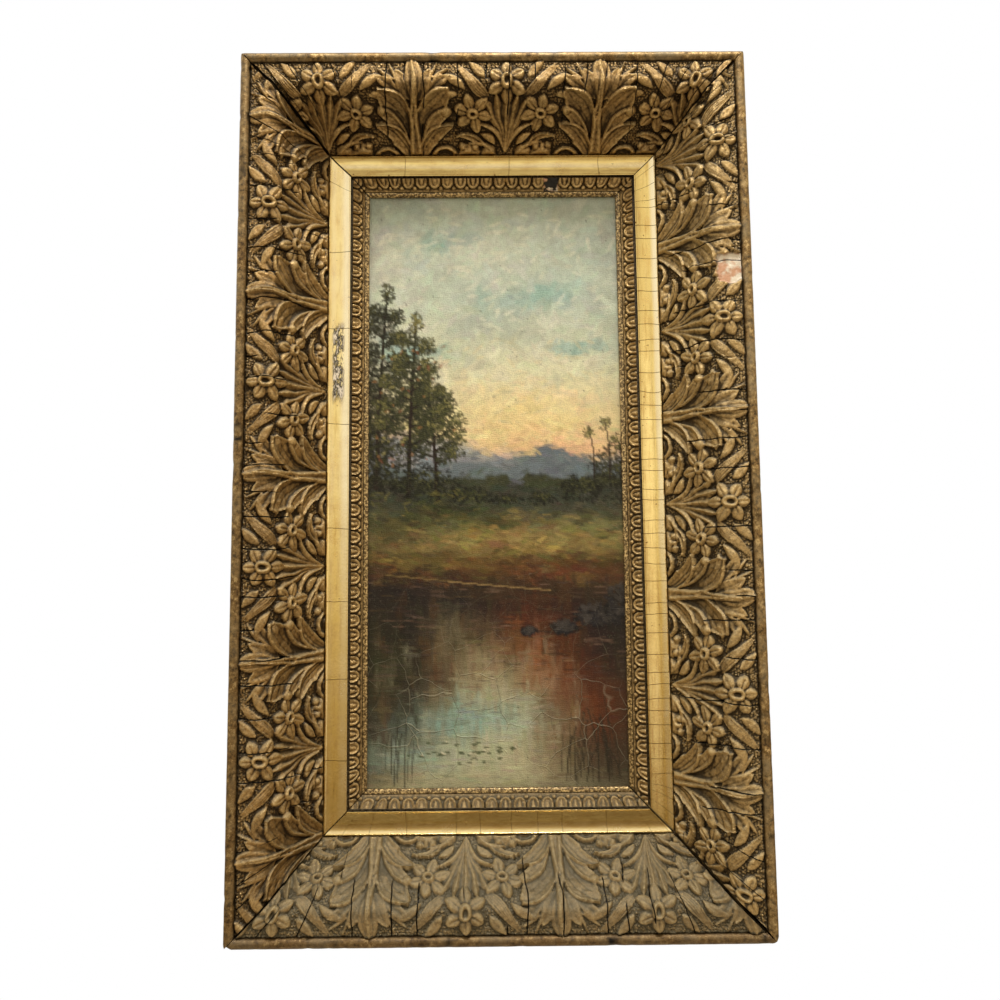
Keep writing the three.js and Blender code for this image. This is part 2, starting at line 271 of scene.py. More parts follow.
# ------------------------------------------------------------------ the beds
def bezier(points, u):
    """A Bezier curve at u, as an array (..., 2): its points are blended in pairs until one is left."""
    u = np.asarray(u)[..., None]
    points = [np.asarray(point, dtype=float) for point in points]
    while len(points) > 1:
        points = [a * (1 - u) + b * u for a, b in zip(points, points[1:])]
    return points[0]


class Bed:
    """A section line in inset and height, followed by its length t, with its outward normal."""

    def __init__(self, line):
        steps = np.diff(line, axis=0)
        self.t = np.concatenate([[0], np.cumsum(np.hypot(steps[:, 0], steps[:, 1]))])
        self.line = line
        slope = np.gradient(line, self.t, axis=0)
        self.normal = np.stack([-slope[:, 1], slope[:, 0]], axis=1)
        self.length = self.t[-1]

    def at(self, t, n):
        """Inset and height of the place t along the line, n out from it."""
        inset = np.interp(t, self.t, self.line[:, 0]) + n * np.interp(t, self.t, self.normal[:, 0])
        height = np.interp(t, self.t, self.line[:, 1]) + n * np.interp(t, self.t, self.normal[:, 1])
        return inset, height


def ornament_bed():
    """The level frieze, then two quadratic curves: the shoulder and the slope."""
    even = np.linspace(0, 1, 60)
    frieze = np.stack([ORNAMENT_INSET + (SHOULDER_START[0] - ORNAMENT_INSET) * even,
                       np.full(60, FRIEZE_HEIGHT)], axis=1)
    shoulder = bezier((SHOULDER_START, SHOULDER_VIA, SHOULDER_END), even)
    slope = bezier((SHOULDER_END, SLOPE_VIA, SLOPE_END), even)
    return Bed(np.concatenate([frieze, shoulder[1:], slope[1:]]))


BED = ornament_bed()
EGG_LINE = Bed(np.linspace(EGG_BED[0], EGG_BED[1], 20))


# ------------------------------------------------------------------ cast leaves and flowers
class Mould:
    """A carved tile: heights over a fine grid of s and t, from which castings are taken.

    Every form is a sheet of points, its place and height worked out from two parameters. The points
    are pressed into the tile's cells, each cell keeping the highest.
    """

    # the side of a cell, the tile's margin past both edges of the bed, and the height of bare ground
    STEP = 0.3
    MARGIN = 4.0
    GROUND = -1.0

    def __init__(self, half_width, seed):
        self.half_width = half_width
        self.seed = seed
        rows = int((BED.length + 2 * self.MARGIN) / self.STEP)
        self.height = np.full((int(2 * half_width / self.STEP) + 1, rows), self.GROUND)

    def press(self, place, n, trench=0.8):
        """Press a sheet of points in, and sink what lies round it, so that its outline reads."""
        i = np.rint((place[..., 0] + self.half_width) / self.STEP).astype(int)
        j = np.rint((place[..., 1] + self.MARGIN) / self.STEP).astype(int)
        inside = (i >= 0) & (i < self.height.shape[0]) & (j >= 0) & (j < self.height.shape[1])
        form = np.full(self.height.shape, -np.inf)
        np.maximum.at(form, (i[inside], j[inside]), n[inside])
        on = np.isfinite(form)
        lowered = np.maximum(self.height - trench * blurred(on.astype(float), 2), self.GROUND - 0.2)
        self.height = np.where(on, np.maximum(form, lowered), lowered)

    def lobe(self, upper, lower, base, tip, cup=1.0, rim=0.9, veins=2, vein=0.45, teeth=0, tooth=1.3):
        """A leaf's lobe between two Bezier curves: u runs from its foot to its tip, v across it.

        The height goes from base to tip as a power of u, less a hollow that is a sine of v, plus a
        rolled rim, a bell curve of the distance from the upper edge. Veins are narrow grooves at
        even v. Teeth push the lower edge out as a sawtooth of u.
        """
        u = np.linspace(0, 1, 170)
        v = np.linspace(0, 1, 90)
        high = bezier(upper, u)
        low = bezier(lower, u)
        out = low - high
        width = np.maximum(np.hypot(out[:, 0], out[:, 1]), 0.05)
        out /= width[:, None]
        saw = tooth * np.mod(teeth * u, 1) ** 2 * (u < 0.97) if teeth else 0 * u
        low = low + out * saw[:, None]
        width = width + saw
        place = low[:, None] * (1 - v)[:, None] + high[:, None] * v[:, None]
        d = v * width[:, None]
        left = width[:, None] - d
        n = base + (tip - base) * u[:, None] ** 1.4 - cup * np.sin(math.pi * v) * smooth(0, 8, width)[:, None]
        n += rim * np.exp(-(left / 1.1) ** 2) + 0.45 * rim * np.exp(-(d / 0.9) ** 2)
        for k in range(veins):
            off = (v - (k + 1) / (veins + 1)) * width[:, None]
            n -= vein * np.exp(-(off / 0.55) ** 2) * smooth(1, 5, width)[:, None]
        self.press(place, n - 0.7 * np.exp(-(np.minimum(d, left) / 0.35) ** 2))

    def blade(self, start, via, end, half, base, crest,
              peak=0.5, keel=0.0, grooves=(), groove=0.6, blunt=0.75):
        """A slim leaf along a quadratic curve: u along it, v from -1 to 1 across it.

        Its half width is half times a sine of a power of u, which puts the widest place at peak, and
        the sine is raised to blunt, which rounds its ends. The height goes from base to crest, half as
        a rounded back and half as a roof. A keel is a narrow ridge on the centre line, or a groove
        where negative, and the grooves lie at the v given.
        """
        u = np.linspace(0, 1, 170)
        v = np.linspace(-1, 1, 60)
        line = bezier((start, via, end), u)
        along = np.gradient(line, axis=0)
        along /= np.hypot(along[:, 0], along[:, 1])[:, None]
        width = half * np.maximum(np.sin(math.pi * u ** (math.log(0.5) / math.log(peak))), 0) ** blunt
        across = np.stack([-along[:, 1], along[:, 0]], axis=1) * width[:, None]
        place = line[:, None] + across[:, None] * v[:, None]
        crown = 0.5 * np.clip(1 - v * v, 0, 1) ** 0.6 + 0.5 * (1 - np.abs(v))
        n = base + (crest - base) * crown + 0 * u[:, None]
        n += keel * np.exp(-(v * width[:, None] / 0.75) ** 2)
        for g in grooves:
            n -= groove * np.exp(-((v - g) * width[:, None] / 0.5) ** 2)
        self.press(place, n)

    def disc(self, centre, radius, heights, stretch=1.0, ribs=0, rib=0.6):
        """A round form: r from 0 to 1 outwards and the angle round it, heights given along r.

        Ribs are a cosine of the angle, which fades in between a third and two thirds of the way out.
        """
        r = np.linspace(0, 1, 70)
        angle = np.linspace(0, 2 * math.pi, 260)
        at = np.linspace(0, 1, len(heights))
        ring = np.stack([np.cos(angle) * radius, np.sin(angle) * radius * stretch], axis=1)
        place = np.asarray(centre) + ring[:, None] * r[:, None]
        wave = 0.5 + 0.5 * np.cos(ribs * angle[:, None])
        self.press(place, np.interp(r, at, heights) - rib * wave * smooth(0.3, 0.7, r) * (ribs > 0))

    def flower(self, s0, t0, radius=14.6, turn=0.0, lift=0.0):
        """Six cupped petals, each a blunt blade with a groove on its keel, round a ring with a deep eye."""
        for k in (0, 2, 4, 1, 3, 5):
            angle = math.pi / 2 + turn + k * math.pi / 3
            reach = radius * (1 + 0.07 * math.sin(5 * k + 3 * turn + self.seed))
            points = [(s0 + r * math.cos(angle), t0 + r * math.sin(angle)) for r in (2.6, 8, reach)]
            self.blade(*points, 4.2, lift + 1.5, lift + 3.7 + 0.3 * (k % 2), peak=0.54, keel=-1.5, blunt=0.68)
        self.disc((s0, t0), 4.3, [lift + h for h in (2.0, 2.0, 2.3, 4.9, 5.3, 4.9, 3.2)])

    def cast(self, s, t, axis):
        """Heights of a casting whose centre line stands at axis, blended between the tile's cells.

        The places are shifted by up to a millimetre of noise, as a hand carved the mould.
        """
        x = s - axis
        drift = [1.1 * layered_noise(x + 100, t, 13, self.seed + k, 1) for k in (0, 50)]
        x = np.clip((x + drift[0] + self.half_width) / self.STEP, 0, self.height.shape[0] - 1.001)
        y = np.clip((t + drift[1] + self.MARGIN) / self.STEP, 0, self.height.shape[1] - 1.001)
        xi = x.astype(int)
        yi = y.astype(int)
        fx = x - xi
        fy = y - yi
        h = self.height
        low = h[xi, yi] * (1 - fx) + h[xi + 1, yi] * fx
        high = h[xi, yi + 1] * (1 - fx) + h[xi + 1, yi + 1] * fx
        return np.where(np.abs(s - axis) < self.half_width - 2, low * (1 - fy) + high * fy, self.GROUND)

    def softened(self):
        """The finished tile, its edges softened by a cell each way."""
        self.height = blurred(self.height, 1)
        return self


def acanthus_mould():
    """Two-ribbed stem, three-lobed tip, three pairs of side lobes, tendrils, and a shell at each foot."""
    mould = Mould(40, 3)
    for m in (-1, 1):
        mould.blade((m * 6, 34), (m * 12, 17), (m * 17.5, 0), 1.3, 0.8, 2.0)
        mould.blade((m * 14, 14), (m * 19, 11), (m * 26, 4), 1.5, 0.8, 1.8)
        mould.lobe(((m * 11, 21), (m * 17, 8), (m * 28.5, 11)), ((m * 11, 22), (m * 22, 20), (m * 28.5, 11)),
                   1.2, 2.4, 0.5, 0.6, 1, 0.6)
        mould.lobe(((m * 1.5, 26), (m * 3, 9), (m * 13.5, 6)), ((m * 3, 27), (m * 14, 24), (m * 13.5, 6)),
                   1.4, 2.2, 0.4, 0.6, 1)
    mould.blade((0, 30), (0, 12), (0, -1.5), 6.9, 1.5, 2.6,
                peak=0.64, keel=0.7, grooves=(-0.5, 0.5), blunt=0.6)
    for m in (-1, 1):
        mould.lobe(((m * 1.5, 56), (m * 1, 22), (m * 8, 20), (m * 26, 18)),
                   ((m * 2.5, 58), (m * 13, 52), (m * 25, 40), (m * 26, 18.5)),
                   2.0, 3.6, 1.5, 1.3, 3, 0.5, 4, 1.6)
        mould.lobe(((m * 3, 63), (m * 9, 35), (m * 24, 32)), ((m * 4, 67), (m * 14, 50), (m * 25, 38)),
                   2.4, 4.6, 0.5, 1.2, 2, 0.5)
        mould.disc((m * 23.4, 35), 3.4, (5.4, 5.2, 4.6, 3.0))
        mould.lobe(((m * 2, 70), (m * 5, 50), (m * 12, 43), (m * 28.5, 44.5)),
                   ((m * 4, 77), (m * 13, 62), (m * 21, 54), (m * 28.5, 45.5)),
                   2.8, 4.6, 1.5, 1.9, 3, 0.6, 2, 1.4)
        mould.disc((m * 22.5, 73), 10.5, (5.0, 4.6, 3.8, 1.0, 0.2, 1.8, 4.4, 3.2), 1.0, 9, 0.6)
    mould.blade((0, 82), (0, 62), (0, 40), 4.8, 1.8, 3.4, peak=0.42)
    for m in (-1, 1):
        mould.blade((m * 3.4, 80), (m * 1.4, 44), (m * 0.6, 4), 1.8, 2.8, 5.2, peak=0.32, keel=0.3)
    return mould.softened()


def spray_mould():
    """Five reeds, two lance leaves, drooping leaves at the foot, small leaves and three flowers."""
    mould = Mould(49, 8)
    for m in (-1, 1):
        mould.blade((m * 16, 11), (m * 19, 6), (m * 27, 0), 3.2, 1.0, 2.0, keel=-0.5)
        mould.blade((m * 30, 20), (m * 38, 12), (m * 46, 12), 3.2, 1.0, 2.8, keel=-0.6)
        mould.blade((m * 36, 24), (m * 42, 22), (m * 47, 27), 2.8, 1.0, 2.8, keel=-0.6)
    for lean, top in ((-15, 27), (15, 27), (-7.8, 23), (7.8, 23), (0, 22)):
        mould.blade((lean * 0.05, 68), (lean * 0.3, 46), (lean, top), 3.9, 1.0, 2.5,
                    peak=0.64, keel=1.1, blunt=0.6)
    for m in (-1, 1):
        mould.blade((m * 12, 27), (m * 22, 17), (m * 41, -2), 4.0, 1.4, 2.6, peak=0.42, blunt=1.0,
                    grooves=(-0.6, -0.2, 0.2, 0.6), groove=1.7)
        mould.flower(m * 25, 36.5, turn=m * 0.25, lift=0.4)
        mould.disc((m * 13, 68), 6.0, (3.6, 3.8, 3.2, 1.8), 1.1, 5, 0.9)
        mould.disc((m * 27, 69), 8.5, (4.6, 4.2, 4.4, 3.4, 1.8), 1.0, 7, 1.1)
        mould.disc((m * 23, 63), 3.4, (4.4, 4.0, 3.0, 1.6), 1.0, 4, 0.8)
        mould.disc((m * 32.5, 63), 3.0, (4.0, 3.6, 2.8, 1.6), 1.0, 5, 0.8)
        mould.blade((m * 6, 74), (m * 12, 57), (m * 28, 60), 1.5, 2.0, 3.8)
        mould.blade((m * 8, 62), (m * 12, 55), (m * 19, 53), 2.6, 1.8, 3.4, keel=-0.8)
        mould.lobe(((m * 17, 59), (m * 25, 48), (m * 37, 54)), ((m * 18, 63), (m * 27, 56), (m * 37, 55)),
                   2.2, 3.4, 0.5, 1.5, 1, 0.6)
        mould.blade((m * 1.5, 66), (m * 6, 48), (m * 20, 45), 1.8, 2.2, 4.0)
    mould.flower(0, 14.5)
    return mould.softened()


def pebbles(s, t, seed):
    """Small round beads on a jittered lattice of 2 mm: the root of one less the squared distance."""
    pitch = 2.0
    cells = 128
    rng = np.random.default_rng(seed)
    jitter = rng.uniform(-0.28, 0.28, (cells, cells, 2))
    radius = rng.uniform(0.72, 1.0, (cells, cells))
    best = np.zeros(s.shape)
    ci = np.floor(s / pitch).astype(int)
    cj = np.floor(t / pitch).astype(int)
    for di in (-1, 0, 1):
        for dj in (-1, 0, 1):
            i = ci + di
            j = cj + dj
            cell = i % cells, j % cells
            cs = (i + 0.5 + jitter[(*cell, 0)] + 0.5 * (j % 2)) * pitch
            ct = (j + 0.5 + jitter[(*cell, 1)]) * pitch
            gap = ((s - cs) ** 2 + (t - ct) ** 2) / radius[cell] ** 2
            best = np.maximum(best, np.sqrt(np.clip(1 - gap, 0, 1)))
    return best


def crack_places(rail, shortest, longest, seed):
    """Places of the age cracks along a rail, a seeded random step apart."""
    rng = np.random.default_rng(seed)
    places = []
    s = -rail.length / 2 + rng.uniform(shortest, longest)
    while s < rail.length / 2 - shortest:
        places.append(s)
        s += rng.uniform(shortest, longest)
    return np.array(places)


def columns(rail, inset, step, cracks, half_crack):
    """Even columns along a rail with four close ones at each crack, the inner two of them in it."""
    low, high = rail.ends(inset)
    even = np.linspace(low, high, int((high - low) / step) + 1)
    cracks = cracks[(cracks > low + 1) & (cracks < high - 1)]
    near = np.abs(even[:, None] - cracks).min(axis=1) < half_crack * 2.2
    near[[0, -1]] = False
    even = even[~near]
    inner = [cracks - half_crack, cracks + half_crack]
    outer = [cracks - 1.6 * half_crack, cracks + 1.6 * half_crack]
    ends = [low + half_crack * 1.6, high - half_crack * 1.6]
    q = np.concatenate([even, ends, *outer, *inner])
    on_crack = np.concatenate([np.zeros(len(even) + 2 + 2 * len(cracks)), np.ones(2 * len(cracks))])
    order = np.argsort(q)
    return q[order], on_crack[order]


def spread(rail, q, inset, widest, steady):
    """Columns drawn in to the mitres: as they are within steady, then squeezed evenly to the end."""
    low, high = rail.ends(inset)
    far_low, far_high = rail.ends(widest)
    right = steady + (q - steady) * (high - steady) / (far_high - steady)
    left = -steady + (q + steady) * (low + steady) / (far_low + steady)
    return np.where(q > steady, right, np.where(q < -steady, left, q))


ACANTHUS = acanthus_mould()
SPRAY = spray_mould()


def repeats(rail, start, margin):
    """Axes of a motif along a rail: every pitch, out to margin past the corners."""
    limit = rail.length / 2 + margin
    first = start - rail.pitch * math.floor((start + limit) / rail.pitch)
    return np.arange(first, limit, rail.pitch)


# a strip's columns stand square to its rail up to this distance from the inner end of its mitre
MITRE_REACH = 25
# the number of rows of the ornament, the step between its columns, and half the width of its cracks
ORNAMENT_ROWS = 97
ORNAMENT_STEP = 0.8
ORNAMENT_HALF_CRACK = 0.3


def strip_rings(rail, bed, q, rows, edges, widest, heights, thickness):
    """Rings of a strip on a bed: its face at the heights given, trimmed to its edges, and its back."""
    steady = rail.length / 2 - edges[1] - MITRE_REACH
    inset, height = bed.at(rows, heights)
    inset = np.clip(inset, edges[0], edges[1])
    s = spread(rail, q[:, None], inset, widest, steady)
    face = rail.points(s, inset, height)
    back_rows = np.linspace(bed.length, 0, 7)
    inset, height = bed.at(back_rows, -thickness)
    inset = np.clip(inset, edges[0], edges[1]) * np.ones((len(q), 1))
    back = rail.points(spread(rail, q[:, None], inset, widest, steady), inset, height)
    return np.concatenate([face, back], axis=1), s


# the casting broken out of the frieze: its two ends along the rail, and how far it goes across the bed
LOST_PATCH = {"side": "right", "from": -158.0, "to": -138.0, "across": 17.0}
# shortest and longest step between the cracks of the castings, and how much of each stands open
CAST_CRACKS = {
    "top": (12, 26, 0.45),
    "right": (13, 31, 0.42),
    "bottom": (13, 30, 0.3),
    "left": (11, 26, 0.42),
}
# how far the castings have crumbled back from the mitres at a rail's start and end
CRUMBLED = {"top": (1.0, 0.3), "right": (0.3, 0.9), "bottom": (0.9, 0.3), "left": (0.3, 1.0)}


def cast_heights(rail, s, t, crumple):
    """Heights of a whole strip of castings, the painted light and shade of its forms, where gesso shows and
    where ground does.

    The castings are the higher of the acanthus and spray tiles, over a pebbled ground, and noise
    crumples them. Their painted light and shade is 0.5 plus the height over the mean height near by:
    over 0.5 on what stands proud, a painted highlight, and under it in the hollows, painted shade with
    dirt. It is lower along the bead and a little higher towards the sight.
    """
    form = np.full(s.shape, Mould.GROUND)
    for axis in repeats(rail, rail.spray + rail.pitch / 2, 10):
        form = np.maximum(form, ACANTHUS.cast(s, t, axis))
    for axis in repeats(rail, rail.spray, 30):
        form = np.maximum(form, SPRAY.cast(s, t, axis))
    ground = smooth(0.5, -0.2, form)
    heights = np.where(form > 0, form, form * 0.6)
    heights = np.maximum(heights, 0.8 * pebbles(s, t, rail.seed) * ground - 0.5 * ground)
    heights += 0.3 * layered_noise(s, t, 2.6, rail.seed + 40, 3)
    heights += 0.35 * layered_noise(s, t, 22, rail.seed + 60, 2)
    heights += crumple * layered_noise(s, t, 7.5, rail.seed + 50, 2) * (1 - ground)
    gesso = np.zeros(s.shape)
    if rail.side == LOST_PATCH["side"]:
        wobble = 2.2 * layered_noise(s, t, 7, 5, 3)
        centre = (LOST_PATCH["from"] + LOST_PATCH["to"]) / 2
        half = (LOST_PATCH["to"] - LOST_PATCH["from"]) / 2
        outside = np.maximum(np.abs(s - centre) - half, t - LOST_PATCH["across"]) + wobble
        gesso = smooth(0.4, -0.4, outside)
        heights = heights * (1 - gesso) + gesso * (-1.5 + 0.5 * layered_noise(s, t, 4, 9, 3))
    fine = heights - blurred(heights, 2)
    broad = heights - blurred(heights, 6)
    # painted light and shade: lighter on what stands proud as a painted highlight, darker in the hollows as
    # painted shade with dirt
    relief_shading = 0.49 + 0.34 * fine + 0.13 * broad + 0.03 * (heights - 2)
    # darker along the bead and a little lighter towards the sight
    relief_shading = relief_shading + 0.05 * smooth(44, 66, t) - 0.5 * smooth(1.4, 0.3, t)
    return heights, np.clip(relief_shading, 0, 1), gesso, ground


def build_cast_ornament(rail, material, sizes):
    """The cast strip on a rail: rows across the bed, columns along it that follow the cracks.

    Each block between two cracks has settled by up to a quarter of a millimetre of its own.
    """
    rows = np.linspace(0, BED.length, ORNAMENT_ROWS)
    shortest, longest, openness = CAST_CRACKS[rail.side]
    cracks = crack_places(rail, shortest, longest, rail.seed)
    q, on_crack = columns(rail, ORNAMENT_INSET, ORNAMENT_STEP, cracks, ORNAMENT_HALF_CRACK)
    steady = rail.length / 2 - LIP_INSET - MITRE_REACH
    inset, _ = BED.at(rows, 1.0)
    nearest = np.abs(q[:, None] - cracks).argmin(axis=1)
    bend = 2.4 * layered_noise(rows[None, :], nearest[:, None] * 9.7, 22, rail.seed + 3, 3)
    pull = np.exp(-((q - cracks[nearest]) / 4.0) ** 2)[:, None]
    s = spread(rail, q[:, None], inset[None, :], ORNAMENT_INSET, steady) + bend * pull
    t = rows[None, :] * np.ones((len(q), 1))
    heights, relief_shading, gesso, ground = cast_heights(rail, s, t, sizes.crumple / MM)
    # each crack opens over most of the bed, and closes where its own noise says so
    chance = layered_noise(rows[None, :], nearest[:, None] * 31.7, 26, rail.seed + 5, 2)
    opened = smooth(-0.1, 0.12, chance + openness - 0.014 * rows[None, :])
    crack = on_crack[:, None] * opened
    crack[[0, -1]] = 1
    block = np.random.default_rng(rail.seed).uniform(-0.22, 0.22, len(cracks) + 1)
    heights += block[np.searchsorted(cracks, q)][:, None]
    heights -= sizes.cast_cracks / MM * crack
    heights = np.maximum(heights, -CAST_THICKNESS + 0.5)
    rings = strip_rings_bent(rail, q, rows, heights, bend * pull)
    spare = rings.shape[1] - len(rows)
    finish = np.stack([relief_shading, ground * (1 - gesso), crack, gesso], axis=-1)
    back = np.zeros((len(q), spare, 4))
    mesh = tube(f"cast_leaves_{rail.side}", rings, np.concatenate([finish, back], axis=1), 75)
    return add_piece(f"cast_leaves_{rail.side}", mesh, material, "ornament", f"cast_ornament_{rail.side}")


def strip_rings_bent(rail, q, rows, heights, bend):
    """The ornament's rings, with the columns bent along the cracks away from the mitres."""
    edges = (ORNAMENT_INSET, LIP_INSET)
    rings, s = strip_rings(rail, BED, q, rows, edges, ORNAMENT_INSET, heights, CAST_THICKNESS)
    inset, height = BED.at(rows, heights)
    inset = np.clip(inset, *edges)
    low, high = rail.ends(inset)
    room = np.minimum(np.minimum(high - s, s - low), 6) / 6
    s = s + bend * np.clip(room, 0, 1)
    # the castings have crumbled back from the mitres
    crumbled = 0.7 + 0.5 * layered_noise(rows[None, :], 0 * s, 5, rail.seed + 70, 3)
    at_start, at_end = CRUMBLED[rail.side]
    s = s + at_start * crumbled * np.exp(-np.abs(s - low) / 4)
    s = s - at_end * crumbled * np.exp(-np.abs(high - s) / 4)
    rings[:, :len(rows)] = rail.points(s, inset, height)
    return rings


# ------------------------------------------------------------------ eggs at the sight
# where two eggs are broken out: the two ends of the gap along the rail
LOST_EGGS = {"side": "top", "from": 40.0, "to": 51.0}
# the eggs' pitch, the step between a strip's columns, and its number of rows
EGG_PITCH = 10.1
EGG_STEP = 0.74
EGG_ROWS = 20
# an egg: half its width, the length of its straight sides, and of the half ellipse before them
EGG_HALF = 4.5
EGG_STRAIGHT = 2.2
EGG_NOSE = 5.4
# the beads between the eggs' ends: the t of their row, and their radius
EGG_BEAD_ROW = 7.3
EGG_BEAD_RADIUS = 1.5


def build_egg_strip(rail, material):
    """A row of U-shaped eggs with a tongue in each, open to the quirk, and beads between their ends.

    e is 1 on an egg's outline: a half ellipse towards the sight and straight sides behind it. The
    rim is a bell curve of e, the tongue a tapering ridge, and each egg is worn by its own amount.
    """
    reach = rail.length / 2 - SIGHT_INSET
    count = round(2 * reach / EGG_PITCH)
    pitch = 2 * reach / count
    low, high = rail.ends(EGG_BED[0][0])
    q = np.linspace(low, high, int((high - low) / EGG_STEP))
    rows = np.linspace(0, EGG_LINE.length, EGG_ROWS)
    steady = rail.length / 2 - EGG_BED[1][0] - 8
    inset, _ = EGG_LINE.at(rows, 0.0)
    s = spread(rail, q[:, None], inset[None, :], EGG_BED[0][0], steady)
    t = rows[None, :] * np.ones((len(q), 1))
    number = np.round((s + reach) / pitch).astype(int)
    rng = np.random.default_rng(rail.seed + 200)
    worn = rng.uniform(0, 0.55, count + 9)[number % (count + 9)]
    slip = rng.uniform(-0.35, 0.35, count + 9)[number % (count + 9)]
    x = s - (number * pitch - reach) - slip
    across = np.abs(x) / EGG_HALF
    e = np.where(t > EGG_STRAIGHT, np.hypot(across, (t - EGG_STRAIGHT) / EGG_NOSE), across)
    rim = 1.5 * np.exp(-((e - 0.83) / 0.15) ** 2)
    taper = np.clip(2.0 * (1 - t / 6.6), 0.05, 2)
    tongue = 1.5 * np.clip(1 - (x / taper) ** 2, 0, 1) ** 0.5 * smooth(6.2, 4.2, t)
    body = 0.55 + rim + np.maximum(tongue, worn * 1.4 * np.clip(1 - e * e, 0, 1))
    heights = np.where(e < 1, body, -0.3)
    bead = np.hypot(np.abs(np.mod(s + reach, pitch) - pitch / 2), (t - EGG_BEAD_ROW))
    heights = np.maximum(heights, 1.7 * np.sqrt(np.clip(1 - (bead / EGG_BEAD_RADIUS) ** 2, 0, 1)) - 0.1)
    heights += 0.2 * layered_noise(s, t, 2.2, rail.seed + 210, 3)
    lost = np.zeros(s.shape)
    if rail.side == LOST_EGGS["side"]:
        wobble = 1.4 * layered_noise(s, t, 3, 21, 3)
        lost = smooth(LOST_EGGS["from"] - 0.6, LOST_EGGS["from"] + 0.6, s + wobble)
        lost *= smooth(LOST_EGGS["to"] + 0.6, LOST_EGGS["to"] - 0.6, s + wobble)
        heights = heights * (1 - lost) + lost * (-0.3 + 0.5 * layered_noise(s, t, 2, 22, 2))
    # painted light and shade: lighter on what stands proud, darker in the hollows, as on the castings
    relief_shading = np.clip(0.5 + 0.4 * (heights - blurred(heights, 3)) + 0.07 * (heights - 0.8), 0, 1)
    edges = (EGG_BED[0][0], EGG_BED[1][0])
    rings, _ = strip_rings(rail, EGG_LINE, q, rows, edges, EGG_BED[0][0], heights, EGG_THICKNESS)
    bare = smooth(0.0, 0.5, layered_noise(s, t, 4, 24, 3))
    finish = np.stack([relief_shading, 0 * s, lost * (1 - bare), lost * bare], axis=-1)
    back = np.zeros((len(q), rings.shape[1] - len(rows), 4))
    mesh = tube(f"cast_eggs_{rail.side}", rings, np.concatenate([finish, back], axis=1), 75)
    return add_piece(f"cast_eggs_{rail.side}", mesh, material, "eggs", f"egg_strip_{rail.side}")


# ------------------------------------------------------------------ bars
def rounded(points, radius, steps=4):
    """A section with its corners rounded: each becomes a quadratic curve between two near points."""
    result = []
    count = len(points)
    for k, corner in enumerate(points):
        corner = np.array(corner, dtype=float)
        before = np.array(points[k - 1], dtype=float)
        after = np.array(points[(k + 1) % count], dtype=float)
        r = radius[k]
        if r <= 0:
            result.append(corner[None, :])
            continue
        start = corner + (before - corner) * min(r / np.linalg.norm(before - corner), 0.5)
        end = corner + (after - corner) * min(r / np.linalg.norm(after - corner), 0.5)
        result.append(bezier((start, corner, end), np.linspace(0, 1, steps)))
    return np.concatenate(result)


def rail_section():
    """Back, rabbet and lip, the seat of the cast strip, the half-round bead and the plain side."""
    seat_inset, seat_height = BED.at(np.linspace(BED.length, 0, 14), -CAST_THICKNESS - GAP)
    angle = np.linspace(0, 7 / 6 * math.pi, 18)
    bead = np.stack([BEAD_RADIUS * (1 + np.cos(angle)), BEAD_CENTRE + BEAD_RADIUS * np.sin(angle)], axis=1)
    rabbet = [(BACK_INSET, 0), (RABBET_INSET, 0), (RABBET_INSET, LIP_UNDERSIDE)]
    lip = [(LIP_INSET, LIP_UNDERSIDE), (LIP_INSET, LIP_TOP)]
    return np.concatenate([
        rounded([*rabbet, *lip], [0.8, 0.5, 0, 0, 0.4]),
        np.stack([seat_inset, seat_height], axis=1),
        [(2 * BEAD_RADIUS, FRIEZE_HEIGHT - CAST_THICKNESS - GAP)],
        bead,
        [(0.6, SIDE_TOP + 1.0), (1.5, SIDE_TOP + 0.3), (1.6, SIDE_TOP - 0.6)],
    ])


# the step between the rail's columns
RAIL_STEP = 3.4
# how far the corners at a rail's start and end are worn round in plan
CORNER_RADII = {"top": (3.4, 3.4), "right": (3.4, 7.5), "bottom": (7.5, 4.4), "left": (4.4, 3.4)}
# the chip at the end of a rail's bead, and how far along the rail it goes
CORNER_CHIP = {"side": "bottom", "depth": 5.0}


def worn_round(distance, radius):
    """Inset of a round corner, by a column's distance from the mitre.

    A column leans with its inset, so it is radius (cos a - sin a) from the mitre where its inset is
    radius (1 - cos a). The angle a goes from 45 degrees at the mitre to 0 where the round ends.
    """
    turn = np.arccos(np.clip(distance / radius, 0, 1) / math.sqrt(2)) - math.pi / 4
    return radius * (1 - np.cos(turn))


